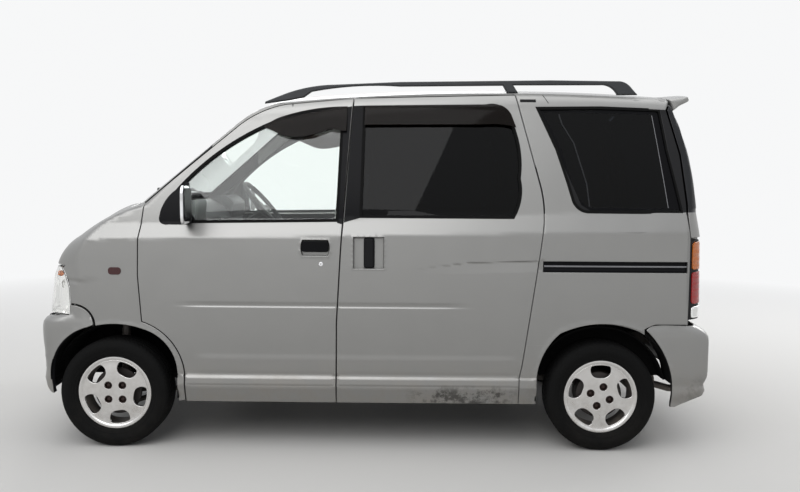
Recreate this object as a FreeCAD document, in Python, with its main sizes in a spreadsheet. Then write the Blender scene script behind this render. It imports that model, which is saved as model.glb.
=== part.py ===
import FreeCAD, Part
import math
import os
from FreeCAD import Placement, Rotation, Vector

# A small one-box van, in millimetres. +X runs to the rear, +Y to the car's right, +Z up.
# The origin is on the ground, midway between the bumpers. The front is at -X.
# Left is -Y and right is +Y. The driver sits on the right.

doc = FreeCAD.newDocument("KeiVan")
sheet = doc.addObject("Spreadsheet::Sheet", "Sizes")

# alias, value, what it measures
SIZES = [
    ("car_length", 3395, "front bumper to rear bumper"),
    ("car_width", 1475, "across the body sides, without mirrors"),
    ("wheelbase", 2420, "front axle to rear axle"),
    ("front_overhang", 415, "front bumper to front axle"),
    ("front_track", 1305, "between the front tyres' middles"),
    ("rear_track", 1300, "between the rear tyres' middles"),
    ("tyre_radius", 272.5, "outer radius of the tyre"),
    ("tyre_width", 165, "section width of the tyre"),
    ("tyre_seat_radius", 183, "inner radius of the tyre, over the rim's lip"),
    ("rim_radius", 182.5, "radius of the rim's lip"),
    ("rim_half_width", 62, "rim's lip to the wheel's middle plane"),
    ("hub_bore_radius", 27, "hole in the middle of the wheel"),
    ("door_thickness", 46, "front and sliding doors"),
    ("wall_thickness", 80, "side wall with its trim"),
    ("roof_thickness", 30, "roof with its lining"),
    ("tailgate_thickness", 40, "tailgate"),
    ("bonnet_thickness", 24, "bonnet with its inner ribs"),
    ("fender_thickness", 18, "front fender with its flange"),
    ("glass_thickness", 5, "window glass"),
    ("gap", 5, "gap between a moving panel and its neighbour"),
    ("steering_wheel_radius", 185, "middle of the rim"),
    ("steering_rim_radius", 14, "thickness of the rim, as a radius"),
    ("engine_length", 560, "engine and gearbox block, along X"),
    ("engine_width", 520, "engine and gearbox block, across"),
    ("engine_height", 320, "engine and gearbox block, up"),
    ("tank_length", 520, "fuel tank, along X"),
    ("tank_width", 420, "fuel tank, across"),
    ("tank_height", 270, "fuel tank, up"),
    ("axle_tube_radius", 30, "rear axle tube"),
    ("well_radius", 344, "outer radius of the wheel housings"),
    ("well_thickness", 8, "sheet of the wheel housings, with its liner"),
]
for row, (alias, value, note) in enumerate(SIZES, 1):
    sheet.set("A%d" % row, str(value))
    sheet.setAlias("A%d" % row, alias)
    sheet.set("B%d" % row, note)
doc.recompute()
SIZE = {alias: float(sheet.get(alias)) for alias, value, note in SIZES}

HALF_LENGTH = SIZE["car_length"] / 2
FRONT_AXLE = -HALF_LENGTH + SIZE["front_overhang"]
REAR_AXLE = FRONT_AXLE + SIZE["wheelbase"]
AXLE_HEIGHT = SIZE["tyre_radius"]
GAP = SIZE["gap"]
GLASS = SIZE["glass_thickness"]
SILL_BOTTOM = 232
PLATE_HOLE_SPACING = 210
PLATE_HOLE_RADIUS = 3.5
OUTSIDE = 900

NODES = []


def keep(obj, label):
    """Gives a finished piece the name of its file."""
    obj.Label = label
    NODES.append(obj)
    return obj


def piece(label, shape, placement=None):
    """A piece whose form is worked out by the functions below."""
    obj = doc.addObject("Part::Feature", label)
    solids = shape.Solids
    obj.Shape = solids[0] if len(solids) == 1 else Part.makeCompound(solids)
    if placement:
        obj.Placement = placement
    return keep(obj, label)


def path(points):
    """Straight and round edges through plane points: (a, b), or ((a, b) on the arc, (a, b) end)."""
    edges = []
    first = points[0]
    last = first
    for point in points[1:] + [first]:
        if isinstance(point[0], tuple):
            middle, end = point
            edges.append(("arc", last, middle, end))
        else:
            end = point
            edges.append(("line", last, end))
        last = end
    return [e for e in edges if e[1] != e[-1]]


def wire(points, place):
    """A closed wire of such edges, each plane point set in space by place(a, b)."""
    made = []
    for edge in path(points):
        ends = [place(*p) for p in edge[1:]]
        if edge[0] == "arc":
            made.append(Part.Arc(*ends).toShape())
        else:
            made.append(Part.LineSegment(*ends).toShape())
    return Part.Wire(made)


def grown(face, distance):
    """A flat face offset outwards, or inwards where the distance is negative."""
    if not distance:
        return face
    return face.makeOffset2D(distance, 0 if distance < 0 else 2)


def side_prism(points, grow=0, y_from=-OUTSIDE, y_to=-420):
    """An outline in the side view (x, z), extruded across the car."""
    face = Part.Face(wire(points, lambda x, z: Vector(x, y_from, z)))
    return grown(face, grow).extrude(Vector(0, y_to - y_from, 0))


def front_prism(points, x_from, x_to, grow=0):
    """An outline in the front view (y, z), extruded along the car."""
    face = Part.Face(wire(points, lambda y, z: Vector(x_from, y, z)))
    return grown(face, grow).extrude(Vector(x_to - x_from, 0, 0))


def plan_prism(points, z_from, z_to, grow=0):
    """An outline in the top view (x, y), extruded upwards."""
    face = Part.Face(wire(points, lambda x, y: Vector(x, y, z_from)))
    return grown(face, grow).extrude(Vector(0, 0, z_to - z_from))


def block(x0, x1, y0, y1, z0, z1):
    return Part.makeBox(x1 - x0, y1 - y0, z1 - z0, Vector(x0, y0, z0))


def rod(start, end, radius):
    """A round bar between two points."""
    a, b = Vector(*start), Vector(*end)
    return Part.makeCylinder(radius, (b - a).Length, a, b - a)


def mirrored(shape):
    """The same shape on the other side of the car."""
    return shape.mirror(Vector(0, 0, 0), Vector(0, 1, 0))


# The body's form: a long loft of cross sections gives the sides, and a wide loft of
# side views gives nose, screen, roof and tail. What both hold is the body.

# x, half width, belt half width, sill of shoulder z, shoulder z, top half width, roof edge half width
SECTIONS = [
    (-1780, 722, 682, 1100, 1040, 586, 558),
    (-1330, 729, 690, 1110, 1046, 592, 564),
    (-700, 735, 699, 1128, 1056, 602, 572),
    (-100, 737.5, 705, 1146, 1067, 611, 577),
    (650, 737.5, 705, 1172, 1081, 613, 579),
    (1200, 735, 702, 1190, 1091, 611, 577),
    (1780, 720, 688, 1202, 1100, 600, 566),
]
ROOF_TOP_X = 650


def section(row, inset):
    """One cross section of the sides, moved inwards by the inset."""
    x, wide, belt, belt_z, shoulder_z, top, edge = row
    drop = (x - ROOF_TOP_X) ** 2 / 25600.0
    # y, z, and the outward direction there
    corners = [
        (wide - 60, 120, 1, 0),
        (wide - 2, 318, 1, 0),
        (wide - 5, 360, 1, 0),
        (wide - 12, 366, 1, 0),
        (wide, 700, 1, 0),
        (wide - 4, shoulder_z, 1, 0),
        (belt, belt_z, 1, 0),
        ((belt + top) / 2 + 6, (belt_z + 1700 - drop) / 2, 0.98, 0.17),
        (top, 1700 - drop, 0.95, 0.31),
        (top - 10, 1740 - drop, 0.8, 0.6),
        (edge - 6, 1776 - drop, 0.4, 0.92),
        (0, 1990 - drop, 0, 1),
    ]
    points = [(y - inset * ny, z - inset * nz) for y, z, ny, nz in corners]

    def at(index, side):
        return Vector(x, side * points[index][0], points[index][1])

    edges = [Part.LineSegment(at(0, -1), at(0, 1)).toShape()]
    for side in (-1, 1):
        for a, b in ((0, 1), (1, 2), (2, 3), (5, 6), (10, 11)):
            edges.append(Part.LineSegment(at(a, side), at(b, side)).toShape())
        for a, b, c in ((3, 4, 5), (6, 7, 8), (8, 9, 10)):
            edges.append(Part.Arc(at(a, side), at(b, side), at(c, side)).toShape())
    return Part.Wire(Part.__sortEdges__(edges))


# name, x, z, outward direction x, z, share of crown, of nose rounding, of tail rounding
PROFILE = [
    ("nose_low", -1684, 60, -1, 0, 0, 1, 0),
    ("nose_top", -1655, 860, -1, 0.05, 0, 1, 0),
    ("lip", -1648, 927, -0.95, 0.3, 0.15, 0.95, 0),
    ("bonnet_bend", -1597, 1012, -0.78, 0.62, 0.33, 0.8, 0),
    ("bonnet", -1501, 1090, -0.58, 0.81, 0.57, 0.45, 0),
    ("bonnet_rear", -1352, 1194, -0.42, 0.9, 0.75, 0.3, 0),
    ("cowl", -1215, 1233, -0.5, 0.87, 0.3, 0.85, 0),
    ("screen_top", -680, 1678, -0.65, 0.76, 1, 0, 0),
    ("header", -570, 1747, -0.4, 0.92, 1, 0, 0),
    ("roof_front", -438, 1786, -0.07, 1, 1, 0, 0),
    ("roof", 500, 1831, 0, 1, 1, 0, 0),
    ("roof_rear", 1478, 1805, 0.3, 0.95, 1, 0, 0.6),
    ("rear_glass", 1564, 1547, 0.97, 0.22, 0, 0, 1),
    ("glass_sill", 1638, 1190, 0.98, 0.17, 0, 0, 1),
    ("tail_bend", 1661, 1075, 1, 0, 0, 0, 1),
    ("tail", 1671, 700, 1, 0, 0, 0, 1),
    ("tail_low", 1671, 60, 1, 0, 0, 0, 1),
]
PROFILE_LINES = [
    ("nose_low", "nose_top"), ("nose_top", "lip"), ("cowl", "screen_top"),
    ("glass_sill", "tail_bend"), ("tail_bend", "tail"), ("tail", "tail_low"), ("tail_low", "nose_low"),
]
PROFILE_ARCS = [
    ("lip", "bonnet_bend", "bonnet"), ("bonnet", "bonnet_rear", "cowl"),
    ("screen_top", "header", "roof_front"), ("roof_front", "roof", "roof_rear"),
    ("roof_rear", "rear_glass", "glass_sill"),
]
# y of the side view, how far the nose and the tail are rounded back there
STATIONS = [(0, 0, 0), (330, 17, 9), (570, 52, 27), (670, 100, 52), (745, 240, 150)]
ROOF_CROWN = 67
CROWN_HALF_WIDTH = 620.0
FLAT_ENDS = ("nose_low", "tail_low")


def side_view(station, side, inset):
    """The car's side view at one distance from its middle."""
    y, nose, tail = station
    crown = ROOF_CROWN * (y / CROWN_HALF_WIDTH) ** 2
    at = {}
    for name, x, z, nx, nz, crown_share, nose_share, tail_share in PROFILE:
        rise = 0 if name in FLAT_ENDS else inset * nz
        at[name] = Vector(x + nose_share * nose - tail_share * tail - inset * nx, side * y,
                          z - crown_share * crown - rise)
    edges = [Part.LineSegment(at[a], at[b]).toShape() for a, b in PROFILE_LINES]
    edges += [Part.Arc(at[a], at[b], at[c]).toShape() for a, b, c in PROFILE_ARCS]
    return Part.Wire(Part.__sortEdges__(edges))


FORMS = {}


def sides(inset):
    """The solid that the body's sides bound."""
    if ("sides", inset) not in FORMS:
        FORMS["sides", inset] = Part.makeLoft([section(row, inset) for row in SECTIONS], True, False)
    return FORMS["sides", inset]


def over(inset):
    """The solid that nose, screen, roof and tail bound."""
    if ("over", inset) not in FORMS:
        views = [side_view(s, -1, inset) for s in reversed(STATIONS[1:])]
        views += [side_view(s, 1, inset) for s in STATIONS]
        FORMS["over", inset] = Part.makeLoft(views, True, False)
    return FORMS["over", inset]


def body(inset):
    """The whole body as one solid, moved inwards by the inset."""
    if ("body", inset) not in FORMS:
        FORMS["body", inset] = sides(inset).common(over(inset)).Solids[0]
    return FORMS["body", inset]


# Outlines in the side view (x, z), of the left side
FRONT_DOOR = [
    (-930, 228), (-929, 350), ((-985, 525), (-1137, 634)), (-1153, 867), (-1150, 1039),
    (-1132, 1219), (-690, 1592), ((-600, 1656), (-440, 1716)), (-97, 1748),
    ((-123, 1420), (-153, 1000)), (-173, 640), (-176, 228),
]
SLIDING_DOOR = [
    (-176, 228), (-173, 640), (-153, 1000), ((-123, 1420), (-97, 1748)), (705, 1768),
    (823, 1320), ((840, 1222), (841, 1130)), (822, 980), (777, 660), (745, 430), (731, 360), (731, 228),
]
FRONT_WINDOW = [
    (-1018, 1120), (-1040, 1162), (-967, 1284), ((-740, 1490), (-488, 1628)),
    ((-310, 1678), (-150, 1693)), (-172, 1140), (-895, 1128),
]
SLIDING_WINDOW = [
    (-44, 1700), (-57, 1160), (690, 1160), ((719, 1230), (720, 1350)), ((706, 1560), (667, 1660)),
    ((630, 1696), (560, 1706)), (132, 1704),
]
QUARTER_WINDOW = [
    (815, 1693), (1022, 1223), (1066, 1196), (1520, 1193), (1450, 1496), (1418, 1689), (1123, 1707),
]
FRONT_ARCH = [
    (-1590, 60), (-1590, 330), ((-1540, 517), (-1411, 602)), ((-1290, 621), (-1132, 597)),
    ((-1022, 526), (-968, 380)), (-968, 60),
]
REAR_ARCH = [
    (816, 60), (816, 350), ((840, 470), (927, 593)), ((1125, 642), (1318, 603)),
    ((1430, 500), (1482, 330)), (1482, 60),
]
FENDER = [
    (-1541, 1300), (-1541, 810), (-1526, 717), (-1476, 717), ((-1415, 697), (-1371, 617)), (-1371, 500),
    (-968, 200), (-930, 232), (-929, 350), ((-985, 525), (-1137, 634)), (-1153, 867), (-1150, 1039), (-1132, 1219),
    (-1132, 1300),
]
TAILGATE_SIDE = [
    (1478, 1900), (1478, 1760), (1453, 1694), (1512, 1471), (1540, 1227), (1541, 1183), (1555, 1060),
    (1560, 640), (1800, 640), (1800, 1900),
]
HEADLAMP = [
    (-1587, 917), (-1553, 851), (-1534, 800), (-1526, 708), (-1530, 661), (-1750, 661), (-1750, 917),
]
ROOF_EDGE = 575
SCREEN = [(-598, 1240), (598, 1240), (566, 1480), (530, 1690), (-530, 1690), (-566, 1480)]
REAR_WINDOW = [(-572, 1135), (572, 1135), (545, 1400), (505, 1680), (-505, 1680), (-545, 1400)]


def half(shape_of_left):
    """The left piece and its right twin."""
    return (("left", shape_of_left), ("right", mirrored(shape_of_left)))


def recess(points, depth):
    """What to cut for a hollow of an even depth in the body's left side."""
    return side_prism(points).cut(sides(depth))


# Doors: the outer skin inside the outline, with its window cut, and the thick lower trim inside
DOOR_DEPTH = SIZE["door_thickness"]
WALL = SIZE["wall_thickness"]
FRAME_LAP = 45
TRIM_LAP = 55
FRONT_HANDLE = [
    (-340, 968), (-215, 968), ((-206, 1006), (-215, 1045)), (-340, 1045), ((-349, 1006), (-340, 968)),
]
SLIDE_HANDLE = [(-92, 906), (60, 906), (60, 1061), (-92, 1061)]
SLIDE_GRIP = [(-39, 900), (11, 900), (11, 1067), (-39, 1067)]
side_block = block(-1170, 1570, -OUTSIDE, -480, 225, 1800)
skin = body(0).common(side_block)
roof_clearance = block(-1300, 1600, -ROOF_EDGE - GAP, 0, 1690, 2000).cut(over(SIZE["roof_thickness"] + GAP))
door_shell = skin.cut([sides(DOOR_DEPTH), roof_clearance])
trim_shell = sides(DOOR_DEPTH).cut(sides(WALL - 8)).common(block(-1170, 900, -OUTSIDE, -400, 290, 1105))
pane_shell = sides(9).cut(sides(9 + GLASS)).common(block(-1200, 1600, -OUTSIDE, -400, 1000, 1800))
front_door = door_shell.common(side_prism(FRONT_DOOR, -GAP / 2)).cut(
    [side_prism(FRONT_WINDOW), recess(FRONT_HANDLE, 24)])
front_door = front_door.fuse(trim_shell.common(side_prism(FRONT_DOOR, -TRIM_LAP)))
sliding_door = door_shell.common(side_prism(SLIDING_DOOR, -GAP / 2)).cut(
    [side_prism(SLIDING_WINDOW), recess(SLIDE_HANDLE, 28)])
grip = sides(8).cut(sides(28)).common(side_prism(SLIDE_GRIP))
sliding_door = sliding_door.fuse([trim_shell.common(side_prism(SLIDING_DOOR, -TRIM_LAP)), grip])
for side, shape in half(front_door):
    piece("front_door_" + side, shape)
for side, shape in half(sliding_door):
    piece("sliding_door_" + side, shape)
for side, shape in half(pane_shell.common(side_prism(FRONT_WINDOW))):
    piece("door_glass_" + side, shape)
side_glass = [pane_shell.common(side_prism(outline)) for outline in (SLIDING_WINDOW, QUARTER_WINDOW)]
piece("fixed_side_glass", Part.makeCompound(side_glass + [mirrored(pane) for pane in side_glass]))

# Side frames: sill, pillars, roof rail and quarter panel round the door openings
SLIDE_RAIL = [(835, 895), (1540, 895), (1540, 949), (835, 949)]
BUMPER_TOP = 640
TAIL_LAMP_FRONT = 1552
DOOR_POCKET = DOOR_DEPTH + 6
roof_zone = block(-1300, 1600, -ROOF_EDGE, 0, 1690, 2000).cut(over(SIZE["roof_thickness"] + 1))
wall = skin.common(block(-1160, 1570, -OUTSIDE, -500, SILL_BOTTOM, 1800)).cut(sides(WALL))
wall = wall.cut([
    side_prism(QUARTER_WINDOW), side_prism(REAR_ARCH), side_prism(FRONT_ARCH, 12),
    side_prism(TAILGATE_SIDE, GAP),
    block(1340, 1800, -OUTSIDE, -400, 100, BUMPER_TOP), front_prism(SCREEN, -1500, -400),
    block(TAIL_LAMP_FRONT - 2, 1800, -800, -400, BUMPER_TOP, 1062),
])
wall = wall.cut([side_prism(FRONT_DOOR, -FRAME_LAP), side_prism(SLIDING_DOOR, -FRAME_LAP), roof_zone])
wall = wall.cut([
    recess(FRONT_DOOR, DOOR_POCKET), recess(SLIDING_DOOR, DOOR_POCKET), recess(SLIDE_RAIL, 16),
    side_prism(FENDER).cut(body(SIZE["fender_thickness"] + 2)),
])
for side, shape in half(wall):
    piece("side_frame_" + side, shape)

# Roof, screen and tailgate. The number plate is held by two screws on the tailgate.
REAR_PLATE_Z = 880
roof = body(0).cut(over(SIZE["roof_thickness"]))
roof = roof.common(block(-700, 1478 - GAP, -ROOF_EDGE + 1, ROOF_EDGE - 1, 1691, 2000)).cut(
    side_prism(TAILGATE_SIDE, GAP, -OUTSIDE, OUTSIDE))
piece("roof_panel", roof)
screen_glass = over(3).cut(over(3 + GLASS)).common(front_prism(SCREEN, -1500, -400))
piece("windscreen", screen_glass.common(block(-1500, -500, -700, 700, 1200, 1689)))

tailgate = body(0).common(block(1300, 1800, -OUTSIDE, OUTSIDE, 646, 1900))
tailgate = tailgate.cut(over(SIZE["tailgate_thickness"]))
tailgate = tailgate.common(side_prism(TAILGATE_SIDE, 0, -OUTSIDE, OUTSIDE)).cut([
    block(1300, 1900, -OUTSIDE, -592, 600, 1064), block(1300, 1900, 592, OUTSIDE, 600, 1064),
    front_prism(REAR_WINDOW, 1300, 1900),
] + [rod((1500, y, REAR_PLATE_Z), (1800, y, REAR_PLATE_Z), PLATE_HOLE_RADIUS)
     for y in (-PLATE_HOLE_SPACING / 2, PLATE_HOLE_SPACING / 2)])
piece("tailgate", tailgate)
piece("tailgate_glass", over(4).cut(over(4 + GLASS)).common(front_prism(REAR_WINDOW, 1300, 1900)))

# y of the section and how far it drops with the roof's crown
SPOILER_STATIONS = [(-545, 52), (-290, 15), (0, 0), (290, 15), (545, 52)]
SPOILER = [(1482, 1804), (1612, 1812), (1614, 1791), (1545, 1745), (1500, 1700)]
spoiler = Part.makeLoft([
    wire(SPOILER, lambda x, z, y=y, drop=drop: Vector(x, y, z - drop)) for y, drop in SPOILER_STATIONS
], True, False)
piece("rear_spoiler", spoiler.cut(over(0)))

LAMP_DEPTH = SIZE["tailgate_thickness"] + 4
HEADLAMP_DEPTH = 70
lamps = body(0).common(block(TAIL_LAMP_FRONT, 1800, -OUTSIDE, -598, 656, 1059)).cut(over(LAMP_DEPTH))
piece("tail_lamps", Part.makeCompound([lamps, mirrored(lamps)]))

# Rear frame behind the tailgate
rear_frame = body(SIZE["tailgate_thickness"] + 6).common(block(1250, 1800, -640, 640, 500, 1640))
rear_frame = rear_frame.common(sides(WALL + 1))
rear_frame = rear_frame.cut([over(WALL + 6), block(1200, 1900, -560, 560, 652, 1650)])
piece("rear_frame", rear_frame)

# Nose: bonnet, fenders, headlamps, grille
HOOD = [(-1222, 1400), (-1222, 1100), (-1560, 870), (-1564, 890), (-1800, 890), (-1800, 1400)]
nose = body(0).common(block(-1780, -900, -OUTSIDE, OUTSIDE, 200, 1300))
lamp_zone = side_prism(HEADLAMP, GAP, -OUTSIDE, -385)
bonnet = nose.cut(over(SIZE["bonnet_thickness"])).common(side_prism(HOOD, 0, -602, 602))
piece("bonnet", bonnet.cut([lamp_zone, mirrored(lamp_zone)]))
fender = nose.common(block(-1700, -900, -OUTSIDE, -608, 220, 1250)).cut(body(SIZE["fender_thickness"]))
fender = fender.common(side_prism(FENDER, -GAP / 2)).cut([side_prism(FRONT_ARCH), side_prism(HEADLAMP, 2)])
piece("front_fenders", Part.makeCompound([fender, mirrored(fender)]))
headlamp = nose.common(block(-1800, -1500, -OUTSIDE, -390, 600, 950))
headlamp = headlamp.cut(over(HEADLAMP_DEPTH)).common(side_prism(HEADLAMP))
piece("headlamps", Part.makeCompound([headlamp, mirrored(headlamp)]))
grille = nose.common(block(-1800, -1500, -386, 386, 662, 884)).cut(
    [over(26)] + [block(-1900, -1400, -350, 350, 722 + 50 * slot, 748 + 50 * slot) for slot in range(3)])
piece("grille", grille)

# Bumpers
FRONT_PLATE_Z = 510
FRONT_BUMPER_PLAN = [
    (-1380, -731), (-1560, -727), ((-1640, -700), (-1668, -640)), ((-HALF_LENGTH, 0), (-1668, 640)),
    ((-1640, 700), (-1560, 727)), (-1380, 731), (-1300, 731), (-1300, -731),
]
FRONT_BUMPER_SIDE = [
    (-1260, 258), (-1614, 258), (-1680, 290), (-1720, 380), (-1720, 600), (-1655, 640), (-1580, 660),
    (-1526, 660), (-1526, 717), (-1476, 717), ((-1415, 697), (-1371, 617)), (-1371, 560), (-1260, 500),
]
bumper = plan_prism(FRONT_BUMPER_PLAN, 200, 760).cut(plan_prism(FRONT_BUMPER_PLAN, 190, 770, -24))
bumper = bumper.common(side_prism(FRONT_BUMPER_SIDE, 0, -OUTSIDE, OUTSIDE))
bumper = bumper.common(block(-1800, -1382, -OUTSIDE, OUTSIDE, 200, 760)).cut([
    side_prism(FRONT_ARCH, 0, -OUTSIDE, OUTSIDE), block(-1800, -1500, -420, 420, 310, 430),
] + [rod((-1800, y, FRONT_PLATE_Z), (-1600, y, FRONT_PLATE_Z), PLATE_HOLE_RADIUS)
     for y in (-PLATE_HOLE_SPACING / 2, PLATE_HOLE_SPACING / 2)])
piece("front_bumper", bumper)
REAR_BUMPER_PLAN = [
    (1380, -735), (1580, -730), ((1655, -706), (1684, -640)), ((HALF_LENGTH, 0), (1684, 640)),
    ((1655, 706), (1580, 730)), (1380, 735), (1300, 735), (1300, -735),
]
REAR_BUMPER_SIDE = [
    (1340, 217), (1506, 219), (1600, 262), (1690, 282), (1720, 330), (1720, 600), (1660, 638), (1340, 638),
]
bumper = plan_prism(REAR_BUMPER_PLAN, 190, 700).cut(plan_prism(REAR_BUMPER_PLAN, 180, 710, -24))
bumper = bumper.common(side_prism(REAR_BUMPER_SIDE, 0, -OUTSIDE, OUTSIDE))
bumper = bumper.common(block(1345, 1800, -OUTSIDE, OUTSIDE, 180, 760))
piece("rear_bumper", bumper.cut(side_prism(REAR_ARCH, 0, -OUTSIDE, OUTSIDE)))

# Roof rails
RAIL = [
    (-549, 1723), (-448, 1768), ((-357, 1806), (-121, 1827)), (130, 1835), (881, 1846), (1215, 1843),
    ((1255, 1836), (1281, 1816)), (1318, 1772), (1218, 1771), ((1192, 1806), (1131, 1823)), (697, 1819),
    (722, 1779), (667, 1779), (646, 1818), (130, 1812), ((-221, 1801), (-312, 1788)), (-352, 1755), (-420, 1740),
]
rail = side_prism(RAIL, 0, -572, -540).cut(over(0))
piece("roof_rails", Part.makeCompound([rail, mirrored(rail)]))

# Mirrors on the front doors' black triangles
mirror = block(-925, -868, -868, -716, 1135, 1308)
mirror = mirror.makeFillet(22, mirror.Edges)
mirror = mirror.fuse(block(-920, -880, -740, -704, 1130, 1175)).cut(sides(0))
for side, shape in half(mirror.Solids[0]):
    piece("mirror_" + side, shape)

# Wheel housings, with the towers that hold the front struts
WELL_R = SIZE["well_radius"]
SHEET = SIZE["well_thickness"]
STRUT_FOOT = (FRONT_AXLE, -552, 330)
STRUT_TOP = (FRONT_AXLE, -514, 797)


def housing(axle_x, y_out, y_in, wall_foot):
    """A round housing over one left wheel, with its inner wall."""
    shell = rod((axle_x, y_out, AXLE_HEIGHT), (axle_x, y_in, AXLE_HEIGHT), WELL_R)
    inner_wall = 12
    shell = shell.cut(rod((axle_x, y_out - 1, AXLE_HEIGHT), (axle_x, y_in - inner_wall, AXLE_HEIGHT), WELL_R - SHEET))
    shell = shell.cut(block(axle_x - 400, axle_x + 400, y_out - 5, y_in + 5, -200, wall_foot))
    return shell.common(sides(WALL + 0.5))


front_housing = housing(FRONT_AXLE, -655, -400, 300)
tower = rod((FRONT_AXLE, -514, 540), (FRONT_AXLE, -514, 812), 80)
front_housing = front_housing.fuse(tower).cut([
    rod((FRONT_AXLE, -514, 500), (FRONT_AXLE, -514, 801), 72),
    rod((FRONT_AXLE, -655, AXLE_HEIGHT), (FRONT_AXLE, -412, AXLE_HEIGHT), WELL_R - SHEET),
])
front_housing = max(front_housing.Solids, key=lambda solid: solid.Volume)
rear_housing = housing(REAR_AXLE, -655, -541, 345)
housings = [front_housing, rear_housing]
piece("wheel_housings", Part.makeCompound(housings + [mirrored(shape) for shape in housings]))

# Floor with its rails, bulkhead and cowl. A towing eye is on the right rail's end.
TOW_EYE_X = 1585
TOW_EYE_RADIUS = 14
FLOOR_TOP = [
    (-1150, 425), (-720, 425), (-660, 630), (-130, 630), (-90, 600), (600, 600), (660, 650), (1570, 650),
]
FLOOR_SHEET = 26
# x from, x to, z from, z to of each length of rail and each post, on both sides
RAILS = [(-1555, 640, 340, 399), (600, 1560, 480, 540), (600, 640, 399, 480)]
RAILS += [(-640, -600, 399, 604), (-60, -20, 399, 574), (620, 640, 540, 590), (1500, 1560, 540, 624)]
floor_side = FLOOR_TOP + [(x, z - FLOOR_SHEET) for x, z in reversed(FLOOR_TOP)]
wells = rod((FRONT_AXLE, -OUTSIDE, AXLE_HEIGHT), (FRONT_AXLE, -400, AXLE_HEIGHT), WELL_R + 0.5)
wells = [wells, mirrored(wells)]
floor = side_prism(floor_side, 0, -700, 700).common(sides(WALL + 0.5))
floor = floor.cut(wells + [rear_frame])
piece("floor_pan", max(floor.Solids, key=lambda solid: solid.Volume))
tow_eye = rod((TOW_EYE_X, 375, 444), (TOW_EYE_X, 375, 456), 28).fuse([
    block(1530, TOW_EYE_X, 355, 395, 444, 456), block(1530, 1558, 355, 395, 444, 490)])
tow_eye = tow_eye.cut(rod((TOW_EYE_X, 375, 400), (TOW_EYE_X, 375, 500), TOW_EYE_RADIUS))
chassis_rails = []
for side in (-1, 1):
    beams = [block(x0, x1, *sorted((side * 350, side * 400)), z0, z1) for x0, x1, z0, z1 in RAILS]
    beams += [block(x, x + 60, *sorted((side * 351, side * 260)), 345, 375) for x in (-500, -120)]
    if side == 1:
        beams.append(tow_eye)
    chassis_rails.append(beams[0].fuse(beams[1:]).cut(wells))
piece("chassis_rails", Part.makeCompound(chassis_rails))
firewall = block(-1176, -1151, -595, 595, 399, 1190).cut(wells)
firewall = firewall.fuse(block(-1215, -1150, -585, 585, 1165, 1222).common(over(8)))
firewall = firewall.fuse([block(-1215, -1165, y0, y1, 340, 420) for y0, y1 in ((-349, -300), (300, 349))])
piece("firewall", firewall)
front_frame = block(-1590, -1556, -560, 560, 330, 860).cut(block(-1600, -1500, -320, 320, 370, 800))
front_frame = front_frame.cut(
    wells + [block(-1600, -1500, y0, y1, 655, 870) for y0, y1 in ((-570, -380), (380, 570))])
piece("front_frame", front_frame)
piece("radiator", block(-1588, -1552, -318, 318, 372, 798))

# Inside
DASH = [(-1146, 1190), ((-1000, 1215), (-900, 1130)), (-880, 1000), (-940, 880), (-1060, 860), (-1146, 900)]
HOOD_OVER_DIALS = [(-1040, 1180), ((-960, 1245), (-880, 1190)), (-900, 1100), (-1040, 1100)]
dashboard = side_prism(DASH, 0, -585, 585).fuse(side_prism(HOOD_OVER_DIALS, 0, 190, 520))
piece("dashboard", dashboard)
SEAT = [
    (-660, 631), (-665, 760), ((-640, 800), (-560, 805)), (-250, 775), (-130, 1290),
    ((-90, 1330), (-40, 1290)), (-150, 700), (-190, 631),
]
HEADREST = [(-112, 1365), (-95, 1480), ((-55, 1512), (-15, 1470)), (-38, 1365)]
seat = side_prism(SEAT, 0, -570, -110).fuse([
    side_prism(HEADREST, 0, -455, -225), block(-85, -65, -400, -385, 1290, 1380),
    block(-85, -65, -295, -280, 1290, 1380),
])
piece("front_seats", Part.makeCompound([seat, mirrored(seat)]))
REAR_SEAT = [
    (330, 601), (325, 800), ((345, 842), (420, 842)), (700, 815), (800, 1300), ((850, 1335), (890, 1290)),
    (810, 601),
]
piece("rear_seat", side_prism(REAR_SEAT, 0, -560, 560).cut(block(598, 900, -600, 600, 600, 651)))

# Engine, tank and exhaust
engine = doc.addObject("Part::Box", "engine")
engine.setExpression("Length", "Sizes.engine_length")
engine.setExpression("Width", "Sizes.engine_width")
engine.setExpression("Height", "Sizes.engine_height")
engine.Placement = Placement(Vector(-560, -SIZE["engine_width"] / 2, 250), Rotation())
keep(engine, "engine")
tank_box = doc.addObject("Part::Box", "tank_box")
tank_box.setExpression("Length", "Sizes.tank_length")
tank_box.setExpression("Width", "Sizes.tank_width")
tank_box.setExpression("Height", "Sizes.tank_height")
tank_box.Placement = Placement(Vector(60, -SIZE["tank_width"] / 2 + 60, 304), Rotation())
tank = doc.addObject("Part::Fillet", "tank")
tank.Base = tank_box
doc.recompute()
tank.Edges = [(i + 1, 40.0, 40.0) for i in range(12)]
keep(tank, "fuel_tank")


def pipe(points, radius):
    """A bent pipe: straight runs with a ball at each bend."""
    runs = [rod(a, b, radius) for a, b in zip(points, points[1:])]
    return runs[0].fuse(runs[1:] + [Part.makeSphere(radius, Vector(*p)) for p in points[1:-1]])


EXHAUST = [(0.5, -230, 290), (960, -230, 300), (1060, -230, 370), (1220, -230, 370), (1300, -230, 300),
           (1340, -230, 290)]
TAILPIPE = [(1440, -420, 280), (1560, -440, 250), (1650, -440, 245)]
silencer = rod((1400, -470, 300), (1400, 60, 300), 78)
piece("exhaust", silencer.fuse([pipe(EXHAUST, 20), pipe(TAILPIPE, 18)]))

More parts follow.
